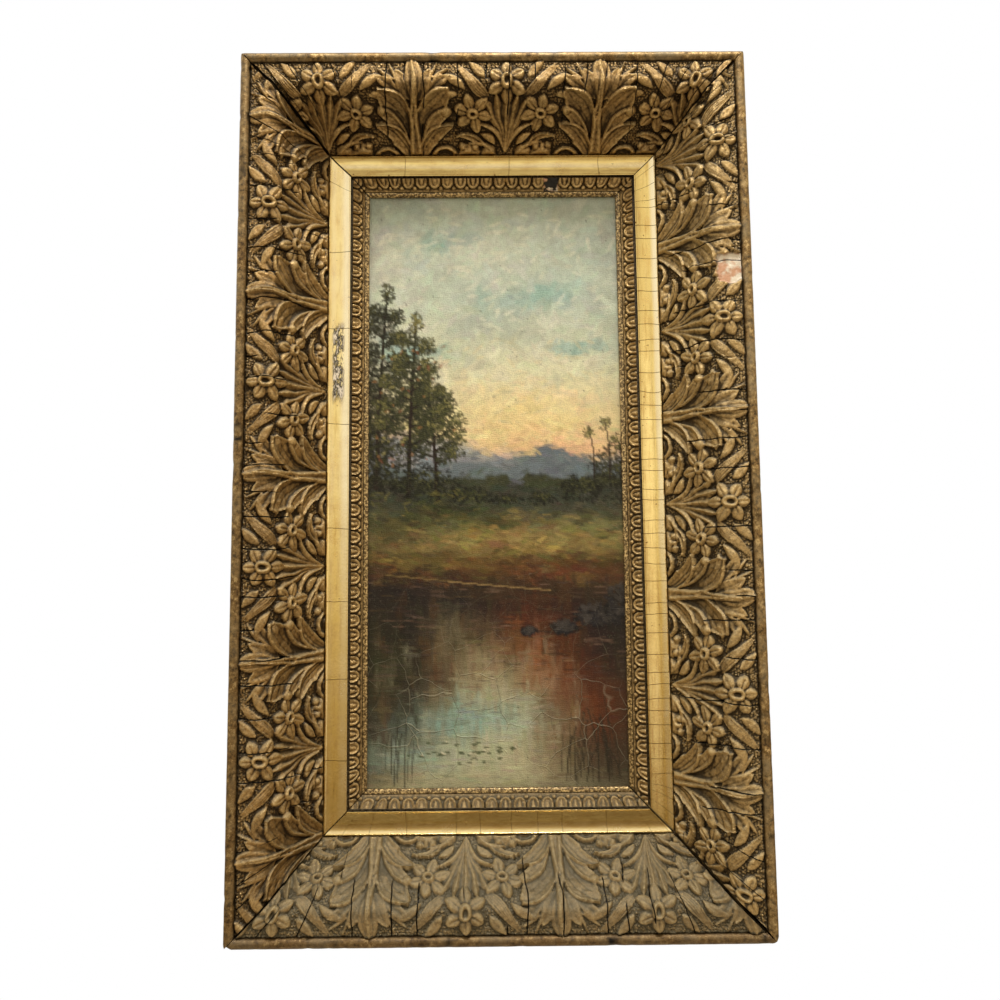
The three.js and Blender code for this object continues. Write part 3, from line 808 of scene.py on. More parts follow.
def build_outer_rail(rail, material, sizes):
    """The wooden rail, its bead dented and its mitres open only at the front.

    Noise pulls the bead's points in towards its centre. Behind the bead and at its outer edge both
    ends grow until the mitre is a twentieth of a millimetre from closed.
    """
    section = rail_section()
    low, high = rail.ends(0)
    near = np.array([0.4, 0.9, 1.5, 2.2, 3.0, 4.0, 5.2])
    even = np.linspace(low, high, int((high - low) / RAIL_STEP))
    q = np.sort(np.concatenate([even, low + near, high - near]))
    at_start, at_end = CORNER_RADII[rail.side]
    round_off = np.maximum(worn_round(q - low, at_start), worn_round(high - q, at_end))
    inset = np.maximum(section[None, :, 0], round_off[:, None])
    height = section[None, :, 1]
    s = spread(rail, q[:, None], inset, 0.0, 40)
    bead_like = smooth(SIDE_TOP + 2, BEAD_CENTRE - 1, height) * (inset < 2 * BEAD_RADIUS + 0.05)
    dent = smooth(0.2, 0.75, layered_noise(s, height * 1.4, 9, rail.seed + 300, 4)) * (sizes.dents / MM)
    dent += 0.16 * np.abs(layered_noise(s, height, 3, rail.seed + 310, 2))
    chip = np.zeros(s.shape)
    if rail.side == CORNER_CHIP["side"]:
        chip = smooth(CORNER_CHIP["depth"] + 1.5, CORNER_CHIP["depth"] - 2, high - s + inset)
        dent = np.maximum(dent, 1.6 * chip)
    pull = np.clip(dent, 0, 1.9) * bead_like / BEAD_RADIUS
    inset = inset + (BEAD_RADIUS - inset) * pull
    height = height + (BEAD_CENTRE - height) * pull
    s = spread(rail, q[:, None], inset, 0.0, 40)
    behind = smooth(BEAD_CENTRE - 2, BEAD_CENTRE - 5, height)
    closing = np.maximum(behind, smooth(3.0, 1.0, inset - round_off[:, None]))
    s = s + closing * (smooth(high - 40, high, q)[:, None] * (rail.end_gap - 0.05)
                       - smooth(low + 40, low, q)[:, None] * (rail.start_gap - 0.05))
    rings = rail.points(s, inset, height)
    foot = smooth(2 * BEAD_RADIUS - 0.9, 2 * BEAD_RADIUS - 0.1, inset)
    worn = np.maximum(np.clip(dent, 0, 1), 0.4 * foot) * bead_like
    side = smooth(BEAD_CENTRE - 3, SIDE_TOP - 1, height) * (inset < 8)
    bare = np.maximum((inset < 6.5) * smooth(12, 3, height), (inset > 8) * (height < LIP_UNDERSIDE + 0.4))
    finish = np.stack([worn, side + 0 * s, bare + 0 * s, chip], axis=-1)
    mesh = tube(f"bronzed_rail_{rail.side}", rings, finish, 38)
    return add_piece(f"bronzed_rail_{rail.side}", mesh, material, "rail", f"outer_rail_{rail.side}")


def liner_section():
    """Flange, back, rabbet, sight edge, seat of the eggs, quirk, the hollow and its two fillets."""
    (i0, h0), (i1, h1) = (EGG_LINE.at(t, -EGG_THICKNESS - GAP) for t in (0, EGG_LINE.length))
    slope = (h1 - h0) / (i1 - i0)
    seat_in = h0 + slope * (FILLET_OUTER - i0)
    seat_out = h0 + slope * (QUIRK_INNER - i0)
    # the hollow is a sine drawn towards its outer edge, so it falls steeply there and rises slowly
    u = 1 - np.linspace(0.99, 0.01, 19) ** 1.5
    hollow = np.stack([HOLLOW_INNER + (HOLLOW_OUTER - HOLLOW_INNER) * u,
                       LINER_TOP + 0.3 * (1 - u) - HOLLOW_DEPTH * np.sin(math.pi * (1 - u) ** 0.62)], axis=1)
    rabbet_face = PICTURE_FACE + GAP
    lip_seat = LIP_UNDERSIDE - GAP
    inner = [(LINER_FLANGE, LINER_BACK), (PICTURE_RABBET, LINER_BACK), (PICTURE_RABBET, rabbet_face),
             (SIGHT_INSET, rabbet_face), (SIGHT_INSET, SIGHT_TOP), (FILLET_OUTER, SIGHT_TOP + 0.6),
             (FILLET_OUTER, seat_in), (QUIRK_INNER, seat_out), (QUIRK_OUTER, seat_out),
             (QUIRK_OUTER, LINER_TOP + 0.2), (HOLLOW_INNER, LINER_TOP + 0.28)]
    outer = [(HOLLOW_OUTER, LINER_TOP), (LINER_OUTER, LINER_TOP - 0.2), (LINER_OUTER, lip_seat),
             (LINER_FLANGE, lip_seat)]
    return np.concatenate([
        rounded(inner, [0.4, 0.4, 0, 0, 0.9, 0.5, 0, 0, 0, 0.35, 0.3]),
        hollow,
        rounded(outer, [0.3, 0.4, 0, 0]),
    ])


# the step between the liner's columns, and half the width of its cracks
LINER_STEP = 4.0
LINER_HALF_CRACK = 0.14
# shortest and longest step between the cracks of the gilding, and how deep they are, 1 being the deepest
LINER_CRACKS = {
    "top": (35, 80, 0.7),
    "right": (7.5, 18, 1.0),
    "bottom": (14, 36, 0.55),
    "left": (30, 80, 0.8),
}
# the gold across the hollow, from its outer to its inner edge: 0 is toned brown, 1 is worn to silver; the
# bands differ by side and are partly painted reflections, darker and brighter across the hollow
GOLD_ACROSS = (HOLLOW_OUTER, 61.0, 64.0, 67.0, 70.0, HOLLOW_INNER)
GOLD_TONES_AND_REFLECTIONS = {"top": (0.25, 0.08, 0.6, 0.85, 0.2, 0.3), "right": (0.85, 0.95, 0.36, 0.5, 0.42, 0.3),
              "bottom": (0.6, 0.95, 0.8, 0.3, 0.12, 0.2), "left": (0.6, 0.7, 0.55, 0.6, 0.9, 0.9)}
# the place worn to gesso: its ends along the rail, its middle across the section and half its width
WORN_GILDING = {"side": "left", "from": 60.0, "to": 121.0, "inset": 65.5, "half": 4.6}


def build_liner(rail, material, sizes):
    """The gilded liner, carried along with fine cracks across it where the gesso has shrunk."""
    section = liner_section()
    shortest, longest, depth = LINER_CRACKS[rail.side]
    cracks = crack_places(rail, shortest, longest, rail.seed + 400)
    q, on_crack = columns(rail, LINER_FLANGE, LINER_STEP, cracks, LINER_HALF_CRACK)
    inset = section[None, :, 0] * np.ones((len(q), 1))
    height = section[None, :, 1] * np.ones((len(q), 1))
    nearest = np.abs(q[:, None] - cracks).argmin(axis=1)
    pull = np.exp(-((q - cracks[nearest]) / 3.5) ** 2)[:, None]
    bend = 1.5 * layered_noise(inset, nearest[:, None] * 9.7, 16, rail.seed + 420, 3) * pull
    front = smooth(LIP_UNDERSIDE + 0.5, LIP_UNDERSIDE + 2.5, height) * (inset < QUIRK_OUTER + 0.1)
    front = np.maximum(front, (inset > FILLET_OUTER - 0.1) * (height > PICTURE_FACE + 1) * 0.6)
    crack = depth * on_crack[:, None] * front
    crack[[0, -1]] = front[[0, -1]]
    s = spread(rail, q[:, None], inset, LINER_FLANGE, rail.length / 2 - SIGHT_INSET - 12)
    height = height - sizes.gilding_cracks / MM * crack
    height = height + 0.06 * layered_noise(s, inset, 14, rail.seed + 430, 2) * front
    low, high = rail.ends(inset)
    room = np.clip(np.minimum(high - s, s - low) / 6, 0, 1)
    rings = rail.points(s + bend * room, inset, height)
    worn = np.zeros(s.shape)
    if rail.side == WORN_GILDING["side"]:
        middle = (WORN_GILDING["from"] + WORN_GILDING["to"]) / 2
        half = (WORN_GILDING["to"] - WORN_GILDING["from"]) / 2
        along = smooth(1.05, 0.8, np.abs(s - middle) / half)
        across = smooth(1.1, 0.7, np.abs(inset - WORN_GILDING["inset"]) / WORN_GILDING["half"])
        worn = along * across
    bare = np.maximum((inset > QUIRK_OUTER - 0.05) * (inset < FILLET_OUTER - 0.05) * 1.0,
                      (height < LIP_UNDERSIDE + 0.4) * (inset < SIGHT_INSET - 0.3) * 1.0)
    bare = np.maximum(bare, (inset > FILLET_OUTER - 0.1) * 0.5)
    wander = 0.7 * layered_noise(s, 0 * s, 45, rail.seed + 440, 3)
    # toned and silvered bands across the hollow: old size and wear, and painted dark and bright reflections
    gold = np.interp(inset + wander, GOLD_ACROSS, GOLD_TONES_AND_REFLECTIONS[rail.side])
    gold = gold + 0.12 * layered_noise(s, inset * 4, 50, rail.seed + 450, 4)
    gold = np.clip(gold, 0, 1) * np.ones(s.shape)
    finish = np.stack([gold, bare, crack, worn], axis=-1)
    mesh = tube(f"burnished_liner_{rail.side}", rings, finish, 30)
    return add_piece(f"burnished_liner_{rail.side}", mesh, material, "liner", f"gilded_liner_{rail.side}")


# ------------------------------------------------------------------ materials
COLOUR = {"data_type": "RGBA"}
# how a pattern on Object coordinates is drawn out along each rail
ALONG = {"top": (0.12, 1, 1), "right": (1, 1, 0.12), "bottom": (0.12, 1, 1), "left": (1, 1, 0.12)}


def add(tree, kind, *values, output=None, **settings):
    """Add a node with its settings, fill its inputs in order, and return the output asked for.

    A value is a number, a vector, a hex colour, an output to link, or None to leave its input alone.
    """
    made = tree.nodes.new("ShaderNode" + kind)
    for name, setting in settings.items():
        setattr(made, name, setting)
    for socket, value in zip([socket for socket in made.inputs if socket.enabled], values):
        if isinstance(value, bpy.types.NodeSocket):
            tree.links.new(value, socket)
        elif value is not None:
            socket.default_value = linear(value) if isinstance(value, str) else value
    found = {socket.name: socket for socket in made.outputs if socket.enabled}
    if isinstance(output, tuple):
        return [found[name] for name in output]
    return found[output] if output else next(iter(found.values()), None)


def new_material(name, roughness, metallic):
    """A material with a bare Principled shader, its tree, the shader, and its Object coordinates."""
    material = bpy.data.materials.new(name)
    material.use_nodes = True
    tree = material.node_tree
    shader = tree.nodes["Principled BSDF"]
    shader.inputs["Roughness"].default_value = roughness
    shader.inputs["Metallic"].default_value = metallic
    return material, tree, shader, add(tree, "TexCoord", output="Object")


def finish_parts(tree):
    """The four values of a mesh's finish attribute."""
    colour, last = add(tree, "Attribute", output=("Color", "Alpha"), attribute_name="finish")
    return [*add(tree, "SeparateColor", colour, output=("Red", "Green", "Blue")), last]


def bronzed_compo(colours, name, dust, rubbing_and_side_light, haze):
    """Moulded composition in bronze paint, a dull broken metal: dark in the hollows with dirt and painted
    shade, bright where rubbed and with painted highlights.

    The ground between the forms is stippled, its points 2 mm apart, darker between them with dirt and
    painted shade. Dust greys what faces up, in the hollows most, and the cracks are black. Rubbed wear
    lightens the paint, and on some sides also stands in for more light, as painted light, and haze is
    dust that stuck all over.
    """
    material, tree, shader, place = new_material(name, 0.4, 0.85)
    relief_shading, ground, crack, gesso = finish_parts(tree)
    broad = add(tree, "TexNoise", place, 1000 / 26, 4, 0.6)
    fine = add(tree, "TexNoise", place, 1000 / 2.4, 5, 0.72)
    speck = add(tree, "TexNoise", place, 1000 / 1.5, 3, 0.7)
    cells = add(tree, "TexVoronoi", place, 1000 / 2.1, None, None, None, 0.55)
    points = add(tree, "MapRange", cells, 0.2, 0.46, 1.0, 0.0)
    stipple = add(tree, "Math", points, ground, operation="MULTIPLY")
    # paint: warm and brown patches, broken by brown grime, and lightened by rubbed wear that on some sides
    # also stands in for more light, as painted light
    patch = add(tree, "MapRange", broad, 0.38, 0.64)
    base = add(tree, "Mix", patch, colours.bronze_warm, colours.bronze, **COLOUR)
    base = add(tree, "Mix", rubbing_and_side_light, base, colours.bronze_rubbed_and_highlight, **COLOUR)
    grime = add(tree, "MapRange", fine, 0.44, 0.68, 0.0, 0.75)
    base = add(tree, "Mix", grime, base, colours.bronze_dark, **COLOUR)
    # what stands proud is lightened to rubbed bronze: rubbed wear and a painted highlight
    proud = add(tree, "MapRange", relief_shading, 0.56, 0.9, 0.0, 0.75)
    broken = add(tree, "MapRange", fine, 0.62, 0.4, 0.3, 1.0)
    rubbed = add(tree, "Math", proud, broken, operation="MULTIPLY")
    base = add(tree, "Mix", rubbed, base, colours.bronze_rubbed_and_highlight, **COLOUR)
    # the stippled ground: darker between the forms, dirt and painted shade, and its points lighter, rubbed
    # wear and painted highlights
    low = add(tree, "Math", ground, 0.2, operation="MULTIPLY")
    base = add(tree, "Mix", low, base, colours.dirt_and_hollow_shade, **COLOUR)
    tops = add(tree, "Math", stipple, 0.85, operation="MULTIPLY")
    base = add(tree, "Mix", tops, base, colours.bronze_rubbed_and_highlight, **COLOUR)
    # dust on what faces up, painted specks of highlight, and dirt with painted shade in the hollows
    normal = add(tree, "NewGeometry", output="Normal")
    rise = add(tree, "SeparateXYZ", normal, output="Z")
    up = add(tree, "MapRange", rise, -0.1, 0.7, 0.0, dust)
    uneven = add(tree, "MapRange", speck, 0.25, 0.7, 0.45, 1.0)
    grey = add(tree, "Math", up, uneven, operation="MULTIPLY")
    base = add(tree, "Mix", grey, base, colours.dust, **COLOUR)
    # painted highlights: small specks lightened to rubbed bronze
    painted_glints = add(tree, "MapRange", speck, 0.56, 0.68, 0.0, 0.4)
    base = add(tree, "Mix", painted_glints, base, colours.bronze_rubbed_and_highlight, **COLOUR)
    dirt = add(tree, "Mix", up, colours.dirt_and_hollow_shade, colours.hollow_dust_and_shade, **COLOUR)
    # painted shade with dirt: the hollows are darkened to the dirt colour
    deep = add(tree, "MapRange", relief_shading, 0.52, 0.24, 0.0, 0.92)
    base = add(tree, "Mix", deep, base, dirt, **COLOUR)
    base = add(tree, "Mix", haze, base, colours.dust, **COLOUR)
    # bare gesso where the casting is lost, and the cracks
    patches = add(tree, "TexNoise", place, 1000 / 11, 3, 0.55)
    stain = add(tree, "MapRange", patches, 0.46, 0.56)
    chalk = add(tree, "Mix", stain, colours.gesso_pink, colours.gesso, **COLOUR)
    left = add(tree, "MapRange", fine, 0.26, 0.4)
    bare = add(tree, "Math", gesso, left, operation="MULTIPLY")
    base = add(tree, "Mix", bare, base, chalk, **COLOUR)
    black = add(tree, "MapRange", crack, 0.1, 0.6)
    base = add(tree, "Mix", black, base, colours.crack, **COLOUR)
    tree.links.new(base, shader.inputs["Base Color"])
    tree.links.new(add(tree, "MapRange", fine, 0.3, 0.7, 0.27, 0.5), shader.inputs["Roughness"])
    dull = add(tree, "Math", crack, gesso, operation="MAXIMUM")
    dull = add(tree, "Math", dull, grey, operation="MAXIMUM")
    dull = add(tree, "Math", dull, haze, operation="MAXIMUM")
    tree.links.new(add(tree, "MapRange", dull, 0.0, 0.8, 0.85, 0.0), shader.inputs["Metallic"])
    grain = add(tree, "Bump", 0.9, 1.0 * MM, None, fine)
    tree.links.new(add(tree, "Bump", 0.9, 0.7 * MM, None, stipple, grain), shader.inputs["Normal"])
    return material


def bead_gold(colours, name, worn_grey, painted_side_shade, along):
    """Old oil gilding on the bead, a half dull metal, rubbed to brown and black and grey with dirt.

    The side of the frame is toned brown, its back is bare pine, and a chip shows white gesso. On some sides
    the bead is also darkened towards that brown, as painted shade.
    """
    material, tree, shader, place = new_material(name, 0.38, 0.6)
    worn, side, bare, chip = finish_parts(tree)
    fine = add(tree, "TexNoise", place, 1000 / 3.4, 6, 0.8)
    broad = add(tree, "TexNoise", place, 1000 / 18, 3, 0.6)
    stretched = add(tree, "Mapping", place, None, None, along)
    streaks = add(tree, "TexNoise", stretched, 1000 / 5, 4, 0.6)
    toned = add(tree, "MapRange", broad, 0.35, 0.65)
    base = add(tree, "Mix", toned, colours.bead_gold, colours.bead_dark, **COLOUR)
    flecks = add(tree, "MapRange", fine, 0.47, 0.38, 0.0, 0.9)
    base = add(tree, "Mix", flecks, base, colours.bronze_rubbed_and_highlight, **COLOUR)
    rubbed = add(tree, "MapRange", fine, 0.51, 0.6, 0.0, 0.9)
    base = add(tree, "Mix", rubbed, base, colours.dirt_and_hollow_shade, **COLOUR)
    grey = add(tree, "MapRange", broad, 0.6, 0.35, 0.0, worn_grey)
    base = add(tree, "Mix", grey, base, colours.bead_grey, **COLOUR)
    # painted shade: some sides' beads are darkened towards the side's brown
    base = add(tree, "Mix", painted_side_shade, base, colours.side_brown_and_shade, **COLOUR)
    lost = add(tree, "MapRange", worn, 0.15, 0.6)
    base = add(tree, "Mix", lost, base, colours.crack, **COLOUR)
    base = add(tree, "Mix", side, base, colours.side_brown_and_shade, **COLOUR)
    grain = add(tree, "MapRange", streaks, 0.35, 0.65)
    wood = add(tree, "Mix", grain, colours.pine, colours.pine_dark, **COLOUR)
    fibres = add(tree, "TexNoise", stretched, 1000 / 0.9, 3, 0.7)
    fibred = add(tree, "MapRange", fibres, 0.5, 0.68, 0.0, 0.4)
    wood = add(tree, "Mix", fibred, wood, colours.side_brown_and_shade, **COLOUR)
    base = add(tree, "Mix", bare, base, wood, **COLOUR)
    chipped = add(tree, "MapRange", chip, 0.3, 0.6)
    base = add(tree, "Mix", chipped, base, colours.gesso, **COLOUR)
    tree.links.new(base, shader.inputs["Base Color"])
    plain = add(tree, "Math", side, bare, operation="MAXIMUM")
    tree.links.new(add(tree, "MapRange", plain, 0.0, 1.0, 0.6, 0.0), shader.inputs["Metallic"])
    tree.links.new(add(tree, "Bump", 0.7, 0.6 * MM, None, fine), shader.inputs["Normal"])
    return material


def burnished_gold(colours, name, along):
    """Gold leaf burnished over gesso: a bright metal, toned brown by old size and worn to silver in bands
    that are also painted dark and bright reflections, pitted and cracked.

    It was rubbed along the rail, which left long streaks in it. The fillet at the sight is in bronze
    paint, and what lies under the eggs is bare and dark.
    """
    material, tree, shader, place = new_material(name, 0.25, 1.0)
    gold, bare, crack, worn = finish_parts(tree)
    broad = add(tree, "TexNoise", place, 1000 / 16, 4, 0.6)
    fine = add(tree, "TexNoise", place, 1000 / 1.8, 4, 0.7)
    pits = add(tree, "TexNoise", place, 1000 / 2.6, 2, 0.5)
    upright = add(tree, "Mapping", place, None, None, (1, 1, 0.4))
    flakes = add(tree, "TexNoise", upright, 1000 / 5, 5, 0.75)
    toned = add(tree, "MapRange", broad, 0.45, 0.72, 0.0, 0.6)
    base = add(tree, "Mix", toned, colours.gold, colours.gold_deep, **COLOUR)
    drawn = add(tree, "Mapping", place, None, None, along)
    streaks = add(tree, "TexNoise", drawn, 1000 / 2.4, 4, 0.6)
    streaked = add(tree, "MapRange", streaks, 0.5, 0.72, 0.0, 0.5)
    base = add(tree, "Mix", streaked, base, colours.gold_streak, **COLOUR)
    pitted = add(tree, "MapRange", pits, 0.69, 0.75, 0.0, 0.85)
    base = add(tree, "Mix", pitted, base, colours.gold_toned_and_dark_reflection, **COLOUR)
    # darker toward toned gold and paler toward silver by the bands: old size and wear, and painted
    # reflections
    sized_and_dark_reflection = add(tree, "MapRange", gold, 0.45, 0.0, 0.0, 0.65)
    base = add(tree, "Mix", sized_and_dark_reflection, base, colours.gold_toned_and_dark_reflection, **COLOUR)
    silvered_and_bright_reflection = add(tree, "MapRange", gold, 0.5, 1.0, 0.0, 0.85)
    base = add(tree, "Mix", silvered_and_bright_reflection, base, colours.gold_silver_and_reflection, **COLOUR)
    gone = add(tree, "MapRange", flakes, 0.43, 0.5)
    black = add(tree, "Math", gone, worn, operation="MULTIPLY")
    base = add(tree, "Mix", black, base, colours.crack, **COLOUR)
    shown = add(tree, "MapRange", flakes, 0.52, 0.58)
    white = add(tree, "Math", shown, worn, operation="MULTIPLY")
    base = add(tree, "Mix", white, base, colours.gesso, **COLOUR)
    grimy = add(tree, "MapRange", fine, 0.38, 0.54)
    bronze = add(tree, "Mix", grimy, colours.bronze_rubbed_and_highlight, colours.bronze_dark, **COLOUR)
    painted = add(tree, "MapRange", bare, 0.1, 0.45)
    base = add(tree, "Mix", painted, base, bronze, **COLOUR)
    under = add(tree, "MapRange", bare, 0.55, 1.0, 0.0, 0.8)
    base = add(tree, "Mix", under, base, colours.dirt_and_hollow_shade, **COLOUR)
    open_crack = add(tree, "MapRange", crack, 0.2, 0.8, 0.0, 0.85)
    base = add(tree, "Mix", open_crack, base, colours.gold_crack, **COLOUR)
    tree.links.new(base, shader.inputs["Base Color"])
    dull = add(tree, "Math", bare, black, operation="MAXIMUM")
    tree.links.new(add(tree, "MapRange", dull, 0.0, 0.8, 1.0, 0.1), shader.inputs["Metallic"])
    tree.links.new(add(tree, "MapRange", broad, 0.3, 0.7, 0.17, 0.3), shader.inputs["Roughness"])
    tree.links.new(add(tree, "Bump", 0.5, 0.14 * MM, None, fine), shader.inputs["Normal"])
    return material


def pine(colours, name, along):
    """Bare aged pine: brown streaks 4 mm apart along the bar, fine fibres between, dry and dull."""
    material, tree, shader, place = new_material(name, 0.72, 0.0)
    stretched = add(tree, "Mapping", place, None, None, along)
    grain = add(tree, "TexNoise", stretched, 1000 / 4, 5, 0.65)
    fibres = add(tree, "TexNoise", stretched, 1000 / 0.9, 3, 0.7)
    streak = add(tree, "MapRange", grain, 0.35, 0.7)
    base = add(tree, "Mix", streak, colours.pine, colours.pine_dark, **COLOUR)
    fibred = add(tree, "MapRange", fibres, 0.5, 0.68, 0.0, 0.4)
    base = add(tree, "Mix", fibred, base, colours.side_brown_and_shade, **COLOUR)
    tree.links.new(base, shader.inputs["Base Color"])
    tree.links.new(add(tree, "Bump", 0.5, 0.4 * MM, None, grain), shader.inputs["Normal"])
    return material


def oil_paint(colours):
    """Oil paint on a linen canvas: the painted colour, broken by the weave and by fine curved cracks.

    The threads of the real linen are 0.6 mm apart, too fine to show, so they are drawn 1.5 mm apart.
    The cracks are the edges of cells 24 mm across, bent by a noise of 38 mm. The varnish is old and
    dull, so its specular level is under oil paint's usual 0.5.
    """
    material, tree, shader, place = new_material("oil_paint_on_linen", 0.6, 0.0)
    shader.inputs["Specular IOR Level"].default_value = 0.22
    colour, crazed = add(tree, "Attribute", output=("Color", "Alpha"), attribute_name="finish")
    threads = 0.0
    for direction in ("X", "Z"):
        wave = add(tree, "TexWave", place, math.pi / 10 / (1.5 * MM), 11.0, 3.0, 1.3, output="Fac",
                   bands_direction=direction)
        threads = add(tree, "Math", wave, threads, operation="ADD")
    wobble = add(tree, "TexNoise", place, 26.0, 3, output="Color")
    shift = add(tree, "VectorMath", wobble, 0.016, operation="SCALE")
    bent = add(tree, "VectorMath", place, shift, operation="ADD")
    cells = add(tree, "TexVoronoi", bent, 42.0, feature="DISTANCE_TO_EDGE")
    lines = add(tree, "MapRange", cells, 0.0, 0.018, 1.0, 0.0)
    some = add(tree, "MapRange", add(tree, "TexNoise", place, 1000 / 50, 2), 0.36, 0.54)
    crackle = add(tree, "Math", lines, crazed, operation="MULTIPLY")
    crackle = add(tree, "Math", crackle, some, operation="MULTIPLY")
    grain = add(tree, "TexNoise", place, 1000 / 1.6, 3, 0.8)
    dirt = add(tree, "TexNoise", place, 1000 / 3, 5, 0.8)
    weave = add(tree, "MapRange", threads, 0.3, 1.7, 0.12, 0.0)
    base = add(tree, "Mix", weave, colour, colours.paint_shade, **COLOUR)
    low = add(tree, "MapRange", grain, 0.5, 0.74, 0.0, 0.22)
    base = add(tree, "Mix", low, base, colours.paint_shade, **COLOUR)
    rubbed = add(tree, "MapRange", grain, 0.42, 0.3, 0.0, 0.06)
    base = add(tree, "Mix", rubbed, base, colours.paint_light, **COLOUR)
    specks = add(tree, "MapRange", dirt, 0.66, 0.76, 0.0, 0.45)
    base = add(tree, "Mix", specks, base, colours.dirt_and_hollow_shade, **COLOUR)
    chalky = add(tree, "MapRange", crackle, 0.0, 1.0, 0.0, 0.24)
    base = add(tree, "Mix", chalky, base, colours.paint_light, **COLOUR)
    tree.links.new(base, shader.inputs["Base Color"])
    tree.links.new(add(tree, "MapRange", dirt, 0.3, 0.7, 0.5, 0.66), shader.inputs["Roughness"])
    first = add(tree, "Bump", 0.4, 0.3 * MM, None, threads)
    tree.links.new(add(tree, "Bump", 0.7, 0.9 * MM, None, crackle, first), shader.inputs["Normal"])
    return material


# ------------------------------------------------------------------ the picture
def tone(colour):
    """Linear RGB of a hex colour."""
    return np.array(linear(colour)[:3])


class Picture:
    """The painting as colours on a grid: x from 0 to 1 across, y from 0 at the foot to 1 at the top."""

    def __init__(self, across, up, seed):
        self.x = np.linspace(0, 1, across)[:, None] * np.ones((1, up))
        self.y = np.linspace(0, 1, up)[None, :] * np.ones((across, 1))
        self.u = self.x * CANVAS_WIDTH
        self.v = self.y * CANVAS_HEIGHT
        self.rgb = np.zeros((across, up, 3))
        self.rng = np.random.default_rng(seed)
        self.cell = CANVAS_WIDTH / (across - 1)

    def lay(self, mask, colour):
        """Lay a colour over the grid by a mask from 0 to 1."""
        mask = np.clip(mask, 0, 1)[..., None]
        self.rgb = self.rgb * (1 - mask) + mask * tone(colour)

    def grade(self, mask, stops):
        """Lay colours that change with height: stops are pairs of y and a hex colour."""
        colours = np.array([tone(colour) for _, colour in stops])
        at = [y for y, _ in stops]
        graded = np.stack([np.interp(self.y, at, colours[:, k]) for k in range(3)], axis=-1)
        mask = np.clip(mask, 0, 1)[..., None]
        self.rgb = self.rgb * (1 - mask) + mask * graded

    def spot(self, x, y, wide, tall, lean=0.0):
        """A soft round mask, 1 at its middle: a bell curve of the distance from a place."""
        return np.exp(-(((self.x - x) / wide) ** 2 + ((self.y - y - lean * (self.x - x)) / tall) ** 2))

    def noise(self, size, seed, octaves=4, stretch=1.0):
        """Layered noise over the picture, stretched sideways where stretch is over 1."""
        return layered_noise(self.u / stretch, self.v, size, seed, octaves)

    def dab(self, x, y, length, width, angle, colour, strength=1.0, bristle=0.0):
        """One brush dab: a soft-edged ellipse, in mm, laid on the cells around it."""
        reach = max(length, width) + self.cell
        i0, i1 = (int(np.clip((x + k * reach) / self.cell, 0, self.rgb.shape[0])) for k in (-1, 1))
        j0, j1 = (int(np.clip((y + k * reach) / self.cell, 0, self.rgb.shape[1])) for k in (-1, 1))
        if i1 <= i0 or j1 <= j0:
            return
        du = self.u[i0:i1, j0:j1] - x
        dv = self.v[i0:i1, j0:j1] - y
        along = (du * math.cos(angle) + dv * math.sin(angle)) / length
        across = (dv * math.cos(angle) - du * math.sin(angle)) / width
        cover = np.clip(1.7 - 1.7 * (along ** 2 + across ** 2), 0, 1) * strength
        if bristle:
            cover = cover * (1 - bristle * (0.5 + 0.5 * np.cos(across * 9 + x)))
        patch = self.rgb[i0:i1, j0:j1]
        self.rgb[i0:i1, j0:j1] = patch + (colour - patch) * cover[..., None]

    def dabs(self, count, box, length, width, angle, colours, strength=0.7, swing=0.2):
        """Dabs of the colours given, at random places in a box of parts (x0, x1, y0, y1)."""
        for _ in range(count):
            x = self.rng.uniform(box[0], box[1]) * CANVAS_WIDTH
            y = self.rng.uniform(box[2], box[3]) * CANVAS_HEIGHT
            colour = tone(colours[self.rng.integers(len(colours))])
            size = self.rng.uniform(0.5, 1.5)
            self.dab(x, y, length * size, width, angle + self.rng.normal(0, swing), colour, strength, 0.3)

    def brushwork(self, count, box, length, width, lean, swing, jitter, strength=0.8):
        """Dabs at random places in a box, each in the colour already near it, changed a little."""
        for _ in range(count):
            x = self.rng.uniform(box[0], box[1]) * CANVAS_WIDTH
            y = self.rng.uniform(box[2], box[3]) * CANVAS_HEIGHT
            i = int(np.clip((x + self.rng.normal(0, 2)) / self.cell, 0, self.rgb.shape[0] - 1))
            j = int(np.clip((y + self.rng.normal(0, 2)) / self.cell, 0, self.rgb.shape[1] - 1))
            colour = self.rgb[i, j] * (1 + self.rng.normal(0, jitter, 3) * 0.4 + self.rng.normal(0, jitter))
            size = self.rng.uniform(0.6, 1.5)
            self.dab(x, y, length * size, width * size, lean + self.rng.normal(0, swing),
                     np.clip(colour, 0, 1), strength, 0.4)

    def stroke(self, points, width, colour, strength=1.0):
        """A line of small dabs along a Bezier curve in mm, thinner towards its end."""
        span = np.linalg.norm(np.subtract(points[0], points[-1])) + 1
        steps = int(span / (self.cell * 0.7)) + 2
        for k, (x, y) in enumerate(bezier(points, np.linspace(0, 1, steps))):
            taper = max(width * (1 - 0.55 * k / steps), 0.7)
            self.dab(x, y, taper, taper, 0, tone(colour), strength)

    def foliage(self, x, y, wide, tall, colours, count, size=2.6):
        """A clump of leaves: dabs in an ellipse, the dark ones first, the light ones last and higher."""
        for k in range(count):
            angle = self.rng.uniform(0, 2 * math.pi)
            part = self.rng.uniform(0, 1) ** 0.6
            step = k / count
            px = x + wide * part * math.cos(angle) * (1 - 0.2 * step)
            py = y + tall * part * math.sin(angle) + 0.3 * tall * step
            colour = tone(colours[int(step * len(colours))]) * self.rng.uniform(0.65, 1.35)
            grow = size * self.rng.uniform(0.45, 1.3)
            self.dab(px, py, grow, grow * 0.5, angle + self.rng.normal(0, 0.6), np.clip(colour, 0, 1), 0.66)


